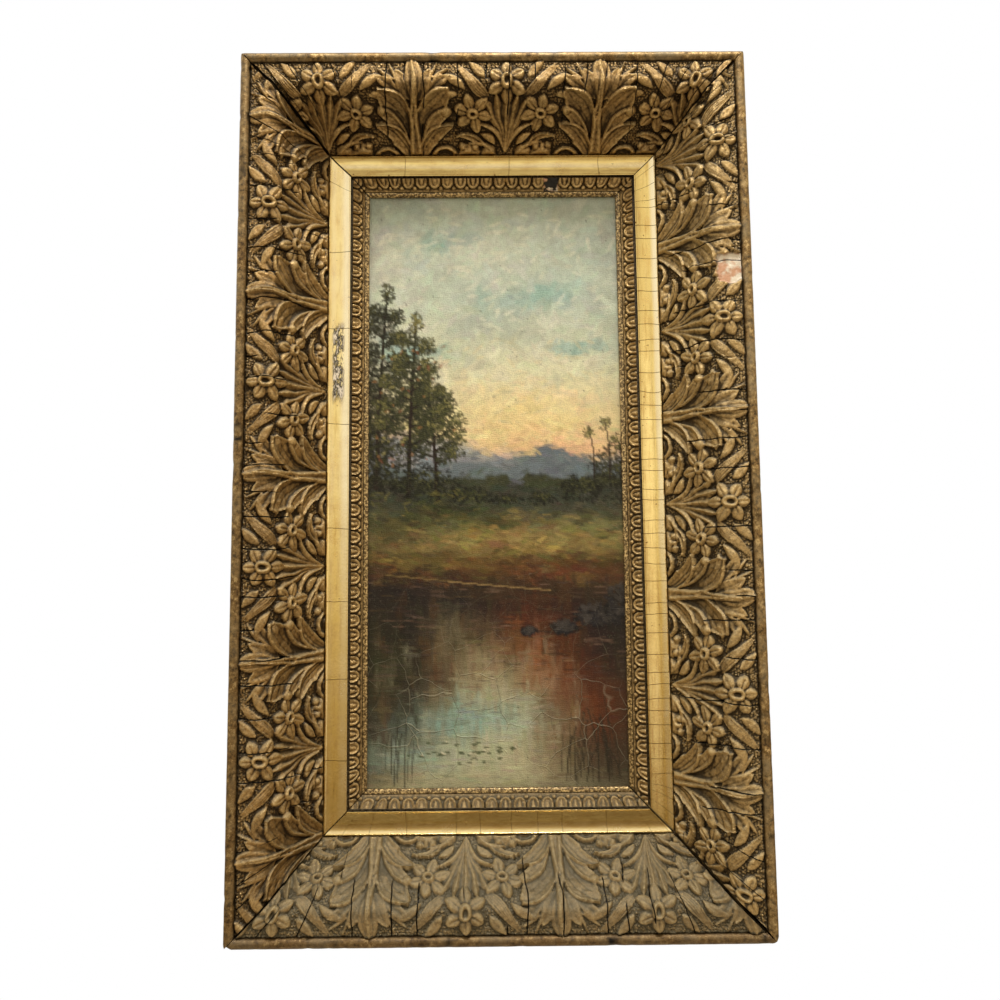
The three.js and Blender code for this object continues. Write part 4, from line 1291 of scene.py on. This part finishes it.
def paint_sky(picture):
    """Broken grey-green cloud over cream with breaks of teal, and a warm glow low on the right."""
    picture.grade(1, ((0.5, "#e4bc92"), (0.55, "#f0d2a2"), (0.6, "#f0e2b4"), (0.68, "#e2e1c2"),
                      (0.78, "#ccd6c4"), (0.9, "#c4d0c3"), (1.0, "#bac5b8")))
    cloud = picture.noise(58, 31, 5, 1.8)
    high = smooth(0.6, 0.76, picture.y)
    picture.lay(smooth(0.0, 0.6, cloud) * high * 0.6, "#aeb9af")
    picture.lay(smooth(0.05, 0.6, -cloud) * high * 0.65, "#e0e3d3")
    picture.lay(smooth(0.1, 0.7, picture.noise(30, 34, 4, 2.2)) * high * 0.25, "#9aa69b")
    for x, y, wide, tall, lean in ((0.66, 0.815, 0.26, 0.026, 0.05), (0.22, 0.715, 0.2, 0.018, -0.04),
                                   (0.85, 0.725, 0.2, 0.014, 0.03), (0.3, 0.905, 0.15, 0.02, 0.1)):
        breach = picture.spot(x, y, wide, tall, lean) * (0.85 + 0.7 * picture.noise(15, 33, 4, 2))
        picture.lay(smooth(0.2, 0.9, breach) * 0.8, "#95bdb8")
    picture.lay(0.8 * picture.spot(0.62, 0.6, 0.34, 0.055), "#f7de9e")
    picture.lay(0.6 * picture.spot(0.8, 0.555, 0.25, 0.03), "#e9b48c")
    picture.brushwork(3800, (0, 1, 0.5, 1), 6.5, 2.2, 0.3, 0.9, 0.06)
    picture.dabs(150, (0.05, 1, 0.74, 0.97), 5.5, 1.7, 0.3, ("#efeddc", "#dfe0cc"), 0.45, 0.5)
    picture.dabs(90, (0, 0.9, 0.6, 0.74), 6.5, 1.6, 0.2, ("#e8d8aa", "#c6c3a0"), 0.4, 0.4)


def paint_hills(picture):
    """Two blue-violet ridges that fall from the left to the right, with scrub at their foot."""
    x, y = picture.x, picture.y
    far = 0.578 - 0.05 * x + 0.010 * np.sin(7 * x + 0.5) + 0.005 * value_noise(x * 9, 0 * x, 41)
    near = 0.528 + 0.026 * picture.spot(0.68, 0, 0.17, 1e3) + 0.006 * value_noise(x * 13, 0 * x, 42)
    picture.lay(smooth(0.010, -0.006, y - far) * 0.9, "#a3a5aa")
    picture.lay(smooth(0.02, -0.03, y - far) * 0.6, "#868c96")
    picture.lay(smooth(0.007, -0.004, y - near), "#6d7880")
    picture.brushwork(900, (0, 1, 0.5, 0.6), 4.5, 1.5, -0.15, 0.4, 0.1)
    scrub = 0.508 + 0.013 * picture.noise(9, 43, 3)
    picture.lay(smooth(0.006, -0.004, y - scrub), "#3c3f2b")


def paint_land(picture):
    """A meadow that goes from dark scrub to ochre, and a broken red-brown bank that falls to the water."""
    x, y = picture.x, picture.y
    picture.grade(smooth(0.496, 0.486, y + 0.006 * picture.noise(12, 50, 3)),
                  ((0.33, "#3b2a1c"), (0.37, "#57401f"), (0.4, "#88764a"), (0.43, "#6e6a48"),
                   (0.46, "#414538"), (0.5, "#31352d")))
    picture.lay(smooth(0.0, 0.5, picture.noise(26, 52, 4, 4)) * smooth(0.46, 0.41, y) * 0.8, "#98824a")
    shade = smooth(0.1, 0.6, picture.noise(22, 53, 4, 4)) * smooth(0.36, 0.42, y) * smooth(0.5, 0.47, y)
    picture.lay(shade, "#363a20")
    bank = 0.372 - 0.05 * x + 0.007 * np.sin(9 * x) + 0.008 * picture.noise(24, 54, 3, 3)
    picture.lay(smooth(0.012, -0.008, y - bank) * 0.9, "#382a1d")
    picture.lay(picture.spot(0.72, 0.352, 0.3, 0.012, -0.03) * 0.8, "#623722")
    picture.lay(picture.spot(0.24, 0.366, 0.22, 0.008, -0.02) * 0.8, "#7b6a35")
    meadow = ("#b39c55", "#5b6230", "#8c6a36", "#33381f")
    picture.dabs(330, (0, 1, 0.37, 0.45), 5, 0.9, -0.04, meadow, 0.5, 0.1)
    earth = ("#6b5a30", "#2c1a15", "#7a4427", "#8d7440")
    picture.dabs(180, (0, 1, 0.33, 0.38), 7, 0.9, -0.03, earth, 0.5, 0.06)
    picture.dabs(160, (0, 1, 0.43, 0.52), 4, 1.6, 0.3, ("#1b1d14", "#2c2f1d", "#4a4c2a"), 0.5, 0.7)
    picture.brushwork(2200, (0, 1, 0.33, 0.5), 5, 1.4, -0.05, 0.3, 0.2)


def paint_water(picture):
    """Dark water under the bank, rust where it catches the glow, teal and cream towards the left foot.

    The reflections are drawn down first, and the ripples across them after.
    """
    x, y = picture.x, picture.y
    bank = 0.335 - 0.045 * x + 0.006 * np.sin(9 * x)
    picture.grade(smooth(0.01, -0.012, y - bank),
                  ((0.0, "#57503f"), (0.1, "#392b23"), (0.2, "#241b1a"), (0.3, "#1b1518"), (0.36, "#2c2022")))
    picture.lay(picture.spot(0.62, 0.2, 0.15, 0.07) * 0.95, "#8e4717")
    picture.lay(picture.spot(0.86, 0.13, 0.17, 0.05) * 0.85, "#6e3413")
    picture.lay(picture.spot(0.08, 0.2, 0.12, 0.08) * 0.8, "#3a3a22")
    drift = 0.03 * picture.noise(32, 61, 3, 2)
    channel = np.abs(x - 0.33 - 0.16 * np.sin(9.5 * y + 0.3) - drift * 3) - 0.10 - 1.1 * (0.22 - y)
    picture.lay(smooth(0.16, -0.08, channel) * smooth(0.33, 0.17, y + drift) * 0.9, "#8f8262")
    picture.lay(smooth(0.02, -0.16, channel) * smooth(0.25, 0.12, y + drift) * 0.9, "#bdb999")
    picture.lay(picture.spot(0.4, 0.115, 0.2, 0.026, 0.02) * 0.95, "#8db4ac")
    picture.lay(picture.spot(0.2, 0.06, 0.2, 0.02) * 0.7, "#9fb8aa")
    picture.lay(smooth(0.05, 0.0, y) * 0.5, "#a09f80")
    picture.lay(smooth(0.74, 1.0, x) * smooth(0.26, 0.08, y) * 0.7, "#3c2c1c")
    down = math.pi / 2
    dark = ("#33221f", "#120d0f", "#5b3a1c", "#2f3320")
    picture.dabs(220, (0, 1, 0.2, 0.32), 9, 2.2, down, dark, 0.4, 0.05)
    picture.dabs(120, (0.05, 0.8, 0.08, 0.24), 9, 2.2, down, ("#8a6b45", "#c3bf9f", "#6d3c1c"), 0.25, 0.05)
    picture.brushwork(1500, (0, 1, 0.04, 0.33), 9, 1.7, down, 0.08, 0.1, 0.6)
    picture.dabs(170, (0, 1, 0.16, 0.34), 7, 0.7, 0, ("#4a3d3c", "#171113", "#7c6152", "#57462e"), 0.5, 0.04)
    pale = ("#6f7660", "#c2bd9f", "#8d937a", "#56604c")
    picture.dabs(110, (0, 0.7, 0.0, 0.17), 8, 0.7, 0, pale, 0.32, 0.04)
    picture.brushwork(800, (0, 1, 0, 0.34), 6.5, 1.0, 0.0, 0.1, 0.14)


def paint_mass(picture, x, y, wide, tall, count, size=2.2):
    """Dense foliage in four tones, painted dark to light, each tone smaller and a little higher."""
    tones = ((0.5, "#15170f"), (0.25, "#222518"), (0.17, "#343720"), (0.08, "#515230"))
    for step, (share, colour) in enumerate(tones):
        shrink = 1 - 0.14 * step
        rise = 0.12 * step * tall
        dabs = int(count * share)
        picture.foliage(x, y + rise, wide * shrink, tall * shrink, (colour,), dabs, size - 0.25 * step)


BARK = "#241a14"


def paint_tree(picture, x, foot, height, lean, colours):
    """A tall tree: a leaning trunk, twelve branches that rise as they go out, and a clump on each."""
    crown = (x + lean, foot + height)
    picture.stroke(((x, foot), (x + 0.2 * lean, foot + height * 0.5), crown), 2.0, BARK, 0.95)
    branches = 12
    for k in range(branches):
        part = 0.3 + 0.64 * k / branches
        start = (x + lean * part ** 1.6, foot + height * part)
        side = (-1 if k % 2 else 1) * picture.rng.uniform(0.6, 1.2)
        reach = 23 * (1.12 - part) + 4
        end = (start[0] + side * reach, start[1] + reach * picture.rng.uniform(0.2, 0.75))
        picture.stroke((start, (start[0] + side * reach * 0.5, start[1] + 1), end), 1.1, BARK, 0.85)
        middle = ((start[0] + end[0]) / 2, (start[1] + end[1]) / 2 + 1)
        picture.foliage(*middle, 9, 7, colours[:2], 80, 2.1)
        picture.foliage(*end, 8.5, 6.5, colours[:3], 80, 1.8)
        picture.foliage(end[0] - 2, end[1] + 2, 6, 4, colours[1:], 26, 1.5)
    picture.foliage(*crown, 6, 9, colours, 80, 2.0)


def paint_trees(picture):
    """Tall trees and dark undergrowth on the left bank, and a low copse on the right."""
    shade = ("#1c1f15", "#282b1b", "#3b3e25", "#565631")
    light = ("#262a1a", "#3a3d25", "#5b5b35", "#857f4d")
    paint_tree(picture, 58, 216, 92, -8, light)
    paint_mass(picture, 8, 262, 20, 46, 620, 3.0)
    paint_tree(picture, 12, 225, 148, 8, shade)
    paint_tree(picture, 36, 218, 132, 6, light)
    for x, y, wide, tall, count in ((14, 240, 40, 24, 700), (50, 226, 28, 13, 320), (84, 217, 18, 7, 150),
                                    (196, 232, 28, 24, 560), (166, 222, 20, 10, 240), (136, 216, 12, 5, 90),
                                    (110, 215, 14, 4, 80)):
        paint_mass(picture, x, y, wide, tall, count)
    for x, top in ((176, 268), (188, 276), (197, 262)):
        picture.stroke(((x, 232), (x + 2, 250), (x - 3, top)), 1.0, BARK, 0.8)
        picture.foliage(x - 3, top - 3, 5, 6, light, 36, 1.7)
    picture.dabs(46, (0.02, 0.36, 0.52, 0.74), 2.0, 1.3, 0.5, ("#97583f", "#a8784a", "#b5ab6c"), 0.5, 0.8)
    picture.dabs(60, (0.0, 0.45, 0.45, 0.49), 3, 1, 0.2, ("#6f6a38", "#4a5028"), 0.5, 0.5)


def paint_details(picture):
    """Boulders and reeds on the right of the water, reeds and lily pads on the left, light on the bank."""
    for x, y, wide, tall in ((178, 128, 20, 8), (194, 139, 12, 11), (152, 120, 11, 4), (126, 118, 6, 2.5)):
        picture.foliage(x, y, wide, tall, ("#0f0e11", "#17161a", "#252328", "#3f3a38"), int(9 * wide), 3.2)
    picture.stroke(((66, 155), (96, 152), (142, 148)), 0.7, "#a98c5c", 0.5)
    picture.stroke(((20, 160), (40, 158), (70, 155)), 0.7, "#8b7448", 0.4)
    for x, lean, count in ((158, 5, 13), (182, -6, 12), (30, 4, 9)):
        for _ in range(count):
            foot = x + picture.rng.normal(0, 6)
            top = picture.rng.uniform(20, 50)
            bend = lean * picture.rng.uniform(0, 1.8)
            root = 14 + picture.rng.normal(0, 4)
            points = ((foot, root), (foot, root + top / 2), (foot + bend, root + top))
            picture.stroke(points, 0.75, "#2a241a", picture.rng.uniform(0.3, 0.7))
    for k in range(34):
        x = 84 + picture.rng.normal(0, 19)
        y = 30 + picture.rng.normal(0, 4)
        length = picture.rng.uniform(1.6, 3.2)
        picture.dab(x, y, length, 0.9, picture.rng.normal(0, 0.2), tone("#3d4a2c"), 0.8)
        if k % 4 == 0:
            picture.dab(x + 1, y + 1, 1.1, 0.8, 0, tone("#d9d3b8"), 0.85)


def aged(picture):
    """Darker towards the edges, uneven brush marks, and small dark flecks."""
    edge = np.maximum(np.abs(2 * picture.x - 1) ** 7, np.abs(2 * picture.y - 1) ** 18)
    picture.lay(0.3 * edge, "#3c3627")
    uneven = 1 + 0.10 * picture.noise(3.2, 71, 2) + 0.07 * picture.noise(11, 72, 3)
    picture.rgb *= uneven[..., None]
    picture.dabs(120, (0, 1, 0, 1), 0.8, 0.8, 0, ("#3d3a2c", "#2b281d"), 0.6)


LINEN = "#a08c68"


def build_canvas(material, sizes):
    """The stretched canvas: a face of fine cells in front, and a plain back of bare linen.

    The face is level but for its slack, a broad noise.
    """
    across = int(CANVAS_WIDTH / CANVAS_CELL) + 1
    up = int(CANVAS_HEIGHT / CANVAS_CELL) + 1
    picture = Picture(across, up, 77)
    paint_sky(picture)
    paint_hills(picture)
    paint_land(picture)
    paint_water(picture)
    paint_trees(picture)
    paint_details(picture)
    aged(picture)
    x = (picture.x - 0.5) * CANVAS_WIDTH
    z = (picture.y - 0.5) * CANVAS_HEIGHT + CENTRE_Z
    slack = sizes.slack / MM * layered_noise(x, z, 70, 88, 2)
    face = np.stack([x, -PICTURE_FACE + CANVAS_FRONT + slack, z], axis=-1)
    behind = np.full((across, 2), -PICTURE_FACE + CANVAS_BACK)
    back = np.stack([x[:, [-1, 0]], behind, z[:, [-1, 0]]], axis=-1)
    rings = np.concatenate([face, back], axis=1) * MM
    colour = np.concatenate([picture.rgb, np.ones((across, 2, 3)) * tone(LINEN)], axis=1)
    crazed = np.pad(0.1 + 0.9 * smooth(0.3, 0.12, picture.y), ((0, 0), (0, 2)))
    finish = np.concatenate([np.clip(colour, 0, 1), crazed[..., None]], axis=-1)
    mesh = tube("painted_canvas", rings, finish, 50)
    piece = add_piece("painted_canvas", mesh, material, "painting", "canvas")
    return piece


# ------------------------------------------------------------------ settings a user would change
def colour_property(name, description, default):
    """A hex colour kept as text, as the materials take it."""
    return bpy.props.StringProperty(name=name, description=description, default=default)


def length_property(name, description, default, most):
    """A length in metres, its default and its most given in millimetres."""
    return bpy.props.FloatProperty(name=name, description=description, default=default * MM, min=0,
                                   max=most * MM, precision=5, unit="LENGTH")


class PaintingColours(bpy.types.PropertyGroup):
    """Colours of the finishes, as sRGB hex values."""

    bronze: colour_property("Bronze", "Bronze paint on the composition", "#967950")
    bronze_warm: colour_property("Warm bronze", "Bronze paint where it is thicker", "#b9955f")
    bronze_dark: colour_property("Dark bronze", "Bronze paint gone brown", "#57462e")
    # also the colour of painted highlights on the bronze paint
    bronze_rubbed_and_highlight: colour_property("Rubbed bronze", "Proud edges rubbed light", "#dcbf88")
    # also the painted shade in the hollows and between the forms
    dirt_and_hollow_shade: colour_property("Recess", "Dirt in the hollows", "#30261b")
    crack: colour_property("Crack", "Inside of a crack", "#0d0906")
    dust: colour_property("Dust", "Dust on what faces up", "#7a745e")
    # also painted shade on the dust lying in the hollows
    hollow_dust_and_shade: colour_property("Deep dust", "Dust lying in the hollows", "#443e32")
    gesso: colour_property("Gesso", "Bare gesso", "#efe4d2")
    gesso_pink: colour_property("Stained gesso", "Gesso stained by glue", "#d3a383")
    bead_gold: colour_property("Bead gold", "Gilding on the bead", "#ab8c56")
    bead_dark: colour_property("Dark bead gold", "Gilding gone brown", "#84683f")
    bead_grey: colour_property("Grey bead", "Bead gilding under dirt", "#7f745f")
    # also the painted shade on the bead of some sides
    side_brown_and_shade: colour_property("Side", "Toned side of the frame", "#4a3620")
    gold: colour_property("Gold leaf", "Burnished gold leaf", "#f4dd98")
    gold_deep: colour_property("Deep gold", "Gold leaf over red clay", "#e3c07a")
    gold_streak: colour_property("Gold streak", "Gold leaf rubbed thin along the rail", "#b98f4a")
    # also the painted bright reflection across the liner's hollow
    gold_silver_and_reflection: colour_property("Silvered gold", "Gold leaf worn thin over silver", "#f7ecd0")
    # also the painted dark reflection across the liner's hollow, and the colour of the pits
    gold_toned_and_dark_reflection: colour_property("Toned gold", "Gold leaf under dirt", "#6f4c1c")
    gold_crack: colour_property("Gold crack", "Crack in the gilding", "#573c14")
    paint_shade: colour_property("Paint shade", "Grime between the threads of the canvas", "#26221a")
    paint_light: colour_property("Paint light", "Worn tops of the threads", "#d8d2b8")
    pine: colour_property("Pine", "Bare aged pine", "#b08f62")
    pine_dark: colour_property("Dark pine", "Grain of aged pine", "#7c5c38")


class PaintingSizes(bpy.types.PropertyGroup):
    """Sizes of the wear, and of the studio round the frame."""

    crumple: length_property("Crumple", "How far the castings' surface rises and sinks", 0.6, 2)
    cast_cracks: length_property("Cracks in the castings", "Depth of the cracks across the castings", 1.4, 2)
    gilding_cracks: length_property("Cracks in the gilding", "Depth of the cracks across the liner", 0.35, 1)
    dents: length_property("Dents", "Depth of the dents in the bead", 0.6, 2)
    slack: length_property("Slack", "How far the canvas leaves its plane", 0.1, 1)
    lens: bpy.props.FloatProperty(name="Lens", description="Focal length for a 36 mm sensor", default=29.98,
                                  min=15, max=80, unit="CAMERA")
    floor_drop: bpy.props.FloatProperty(name="Floor drop", description="Frame's foot down to the floor",
                                        default=1.4, min=0.1, max=3, unit="LENGTH")
    dust: bpy.props.FloatProperty(name="Dust", description="How much dust lies on what faces up", default=0.7,
                                  min=0, max=1, subtype="FACTOR")


# ------------------------------------------------------------------ operators
# each side's wear and light: how grey the bead is and how far it is darkened as painted shade, and how rubbed
# and how hazy the bronze paint is; that rubbed wear also lightens some sides as painted light
BEAD_WEAR_AND_SHADE = {"top": (0.8, 0), "right": (0.7, 0), "bottom": (0.7, 0.55), "left": (0.5, 0.3)}
ORNAMENT_WEAR_AND_LIGHT = {"top": (0.15, 0), "right": (0.5, 0.04), "bottom": (0.05, 0.4), "left": (0, 0)}
EGG_WEAR_AND_LIGHT = {"top": (0.6, 0), "right": (0.35, 0), "bottom": (0.05, 0.35), "left": (0.35, 0)}
# the eggs lie sheltered under the leaves, so they hold less dust than the ornament
EGG_DUST = 0.25


class PAINTING_OT_outer_rails(bpy.types.Operator):
    """Builds the four wooden rails with their bead"""

    bl_idname = "painting.outer_rails"
    bl_label = "Outer rails"

    def execute(self, context):
        colours = context.scene.painting_colours
        sizes = context.scene.painting_sizes
        for rail in RAILS:
            wear = BEAD_WEAR_AND_SHADE[rail.side]
            material = bead_gold(colours, f"old_bead_gilding_{rail.side}", *wear, ALONG[rail.side])
            build_outer_rail(rail, material, sizes)
        return {"FINISHED"}


class PAINTING_OT_cast_ornament(bpy.types.Operator):
    """Builds the four strips of cast leaves and flowers"""

    bl_idname = "painting.cast_ornament"
    bl_label = "Cast ornament"

    def execute(self, context):
        colours = context.scene.painting_colours
        sizes = context.scene.painting_sizes
        for rail in RAILS:
            wear = ORNAMENT_WEAR_AND_LIGHT[rail.side]
            material = bronzed_compo(colours, f"bronzed_composition_{rail.side}", sizes.dust, *wear)
            build_cast_ornament(rail, material, sizes)
        return {"FINISHED"}


class PAINTING_OT_liner(bpy.types.Operator):
    """Builds the gilded liner"""

    bl_idname = "painting.liner"
    bl_label = "Gilded liner"

    def execute(self, context):
        colours = context.scene.painting_colours
        sizes = context.scene.painting_sizes
        for rail in RAILS:
            material = burnished_gold(colours, f"burnished_gold_leaf_{rail.side}", ALONG[rail.side])
            build_liner(rail, material, sizes)
        return {"FINISHED"}


class PAINTING_OT_egg_strips(bpy.types.Operator):
    """Builds the rows of eggs at the sight"""

    bl_idname = "painting.egg_strips"
    bl_label = "Egg strips"

    def execute(self, context):
        colours = context.scene.painting_colours
        for rail in RAILS:
            wear = EGG_WEAR_AND_LIGHT[rail.side]
            material = bronzed_compo(colours, f"bronzed_composition_eggs_{rail.side}", EGG_DUST, *wear)
            build_egg_strip(rail, material)
        return {"FINISHED"}


class PAINTING_OT_canvas(bpy.types.Operator):
    """Paints the landscape on its canvas and finishes the stretcher behind it"""

    bl_idname = "painting.canvas"
    bl_label = "Canvas and stretcher"

    def execute(self, context):
        colours = context.scene.painting_colours
        build_canvas(oil_paint(colours), context.scene.painting_sizes)
        level = pine(colours, "aged_pine_level", ALONG["top"])
        upright = pine(colours, "aged_pine_upright", ALONG["left"])
        for side in SIDES:
            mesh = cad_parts[f"stretcher_bar_{side}"].data
            mesh.materials.clear()
            mesh.materials.append(level if side in ("top", "bottom") else upright)
        return {"FINISHED"}


class PAINTING_OT_stage(bpy.types.Operator):
    """Sets the floor, the white surroundings, the soft lights and the camera"""

    bl_idname = "painting.stage"
    bl_label = "Stage"

    def execute(self, context):
        sizes = context.scene.painting_sizes
        set_floor(sizes)
        set_world(context.scene)
        set_lights()
        set_camera(context.scene, sizes)
        context.scene.view_settings.view_transform = "Standard"
        return {"FINISHED"}


# half the side of the floor, in metres
FLOOR_HALF = 2.2


def set_floor(sizes):
    """A plain pale floor far below the hanging frame."""
    level = CAD_BOX[0].z - sizes.floor_drop
    mesh = bpy.data.meshes.new("floor")
    half = FLOOR_HALF
    corners = [(-half, -half, level), (half, -half, level), (half, half, level), (-half, half, level)]
    mesh.from_pydata(corners, [], [(0, 1, 2, 3)])
    floor = bpy.data.objects.new("floor", mesh)
    bpy.context.scene.collection.objects.link(floor)
    material, _, shader, _ = new_material("pale_floor", 0.9, 0.0)
    shader.inputs["Base Color"].default_value = linear("#d6cfc2")
    mesh.materials.append(material)


# the studio's brightness by the sine of the height above level: brown below, white walls, a dim ceiling
ROOM = ((0.0, "#3a2810"), (0.24, "#5d4a2c"), (0.36, "#8a7148"), (0.45, "#c4ab76"), (0.5, "#e6d4a6"),
        (0.54, "#fff9ea"), (0.74, "#fff9ec"), (0.86, "#f1e9d9"), (0.94, "#b0a38e"), (1.0, "#8a7e6c"))


def set_world(scene):
    """White to the eye, and for the light a room by height, a little warmer to the right."""
    world = bpy.data.worlds.new("studio")
    scene.world = world
    world.use_nodes = True
    tree = world.node_tree
    tree.nodes.clear()
    direction = add(tree, "TexCoord", output="Generated")
    across, height = add(tree, "SeparateXYZ", direction, output=("X", "Z"))
    colour = add(tree, "ValToRGB", add(tree, "MapRange", height, -1.0, 1.0))
    stops = colour.node.color_ramp.elements
    while len(stops) < len(ROOM):
        stops.new(0.5)
    for stop, (place, shade) in zip(stops, ROOM):
        stop.position = place
        stop.color = linear(shade)
    tint = add(tree, "Mix", add(tree, "MapRange", across, -0.6, 0.6), "#ffffff", "#e9dfc8", **COLOUR)
    room = add(tree, "Mix", 1.0, colour, tint, blend_type="MULTIPLY", **COLOUR)
    soft = add(tree, "Background", room, 1.1)
    white = add(tree, "Background", "#ffffff", 1.0)
    seen = add(tree, "LightPath", output="Is Camera Ray")
    add(tree, "OutputWorld", add(tree, "MixShader", seen, soft, white))


# each light's name, place from the frame's centre in metres, size, power and colour
LIGHTS = (
    ("key", (0.1, -0.8, 1.7), 0.42, 26, "#fffaf2"),
    ("fill", (1.2, -1.4, -0.1), 1.2, 2, "#f4f6ff"),
)


def set_lights():
    """A soft key from high in front of the frame, and a weak, wide fill from the right."""
    centre = (CAD_BOX[0] + CAD_BOX[1]) / 2
    for name, offset, size, power, colour in LIGHTS:
        lamp = bpy.data.lights.new(name, "AREA")
        lamp.size = size
        lamp.energy = power
        lamp.color = linear(colour)[:3]
        holder = bpy.data.objects.new(name, lamp)
        bpy.context.scene.collection.objects.link(holder)
        place = centre.copy()
        for k in range(3):
            place[k] += offset[k]
        holder.location = place
        holder.rotation_euler = (centre - place).to_track_quat("-Z", "Y").to_euler()


# the camera's place in mm from the middle of the frame's back, its turn in degrees, and its shift
CAMERA_PLACE = (-14.9, -647.2, -49.75)
CAMERA_TURN = (95.453, 0.467, -0.347)
CAMERA_SHIFT = (0.0189, -0.0304)


def set_camera(scene, sizes):
    """The camera close in front of the frame, a little low and left, looking slightly up."""
    camera = bpy.data.cameras.new("camera")
    camera.sensor_width = 36
    camera.lens = sizes.lens
    camera.shift_x, camera.shift_y = CAMERA_SHIFT
    holder = bpy.data.objects.new("camera", camera)
    scene.collection.objects.link(holder)
    x, y, z = CAMERA_PLACE
    holder.location = (x * MM, y * MM, (CENTRE_Z + z) * MM)
    holder.rotation_euler = [math.radians(a) for a in CAMERA_TURN]
    scene.camera = holder


class PAINTING_PT_panel(bpy.types.Panel):
    """Lists the steps that build the framed painting"""

    bl_label = "Framed painting"
    bl_idname = "PAINTING_PT_panel"
    bl_space_type = "VIEW_3D"
    bl_region_type = "UI"
    bl_category = "Painting"

    def draw(self, context):
        for operator in STEPS:
            self.layout.operator(operator.bl_idname)


STEPS = (
    PAINTING_OT_outer_rails,
    PAINTING_OT_cast_ornament,
    PAINTING_OT_liner,
    PAINTING_OT_egg_strips,
    PAINTING_OT_canvas,
    PAINTING_OT_stage,
)
CLASSES = (PaintingColours, PaintingSizes, *STEPS, PAINTING_PT_panel)


def register():
    """Register the classes and their settings on the scene."""
    for item in CLASSES:
        bpy.utils.register_class(item)
    bpy.types.Scene.painting_colours = bpy.props.PointerProperty(type=PaintingColours)
    bpy.types.Scene.painting_sizes = bpy.props.PointerProperty(type=PaintingSizes)


def unregister():
    """Undo register."""
    del bpy.types.Scene.painting_colours
    del bpy.types.Scene.painting_sizes
    for item in reversed(CLASSES):
        bpy.utils.unregister_class(item)


def main():
    """Register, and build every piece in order."""
    register()
    for operator in STEPS:
        group, name = operator.bl_idname.split(".")
        getattr(getattr(bpy.ops, group), name)()


if __name__ == "__main__":
    main()
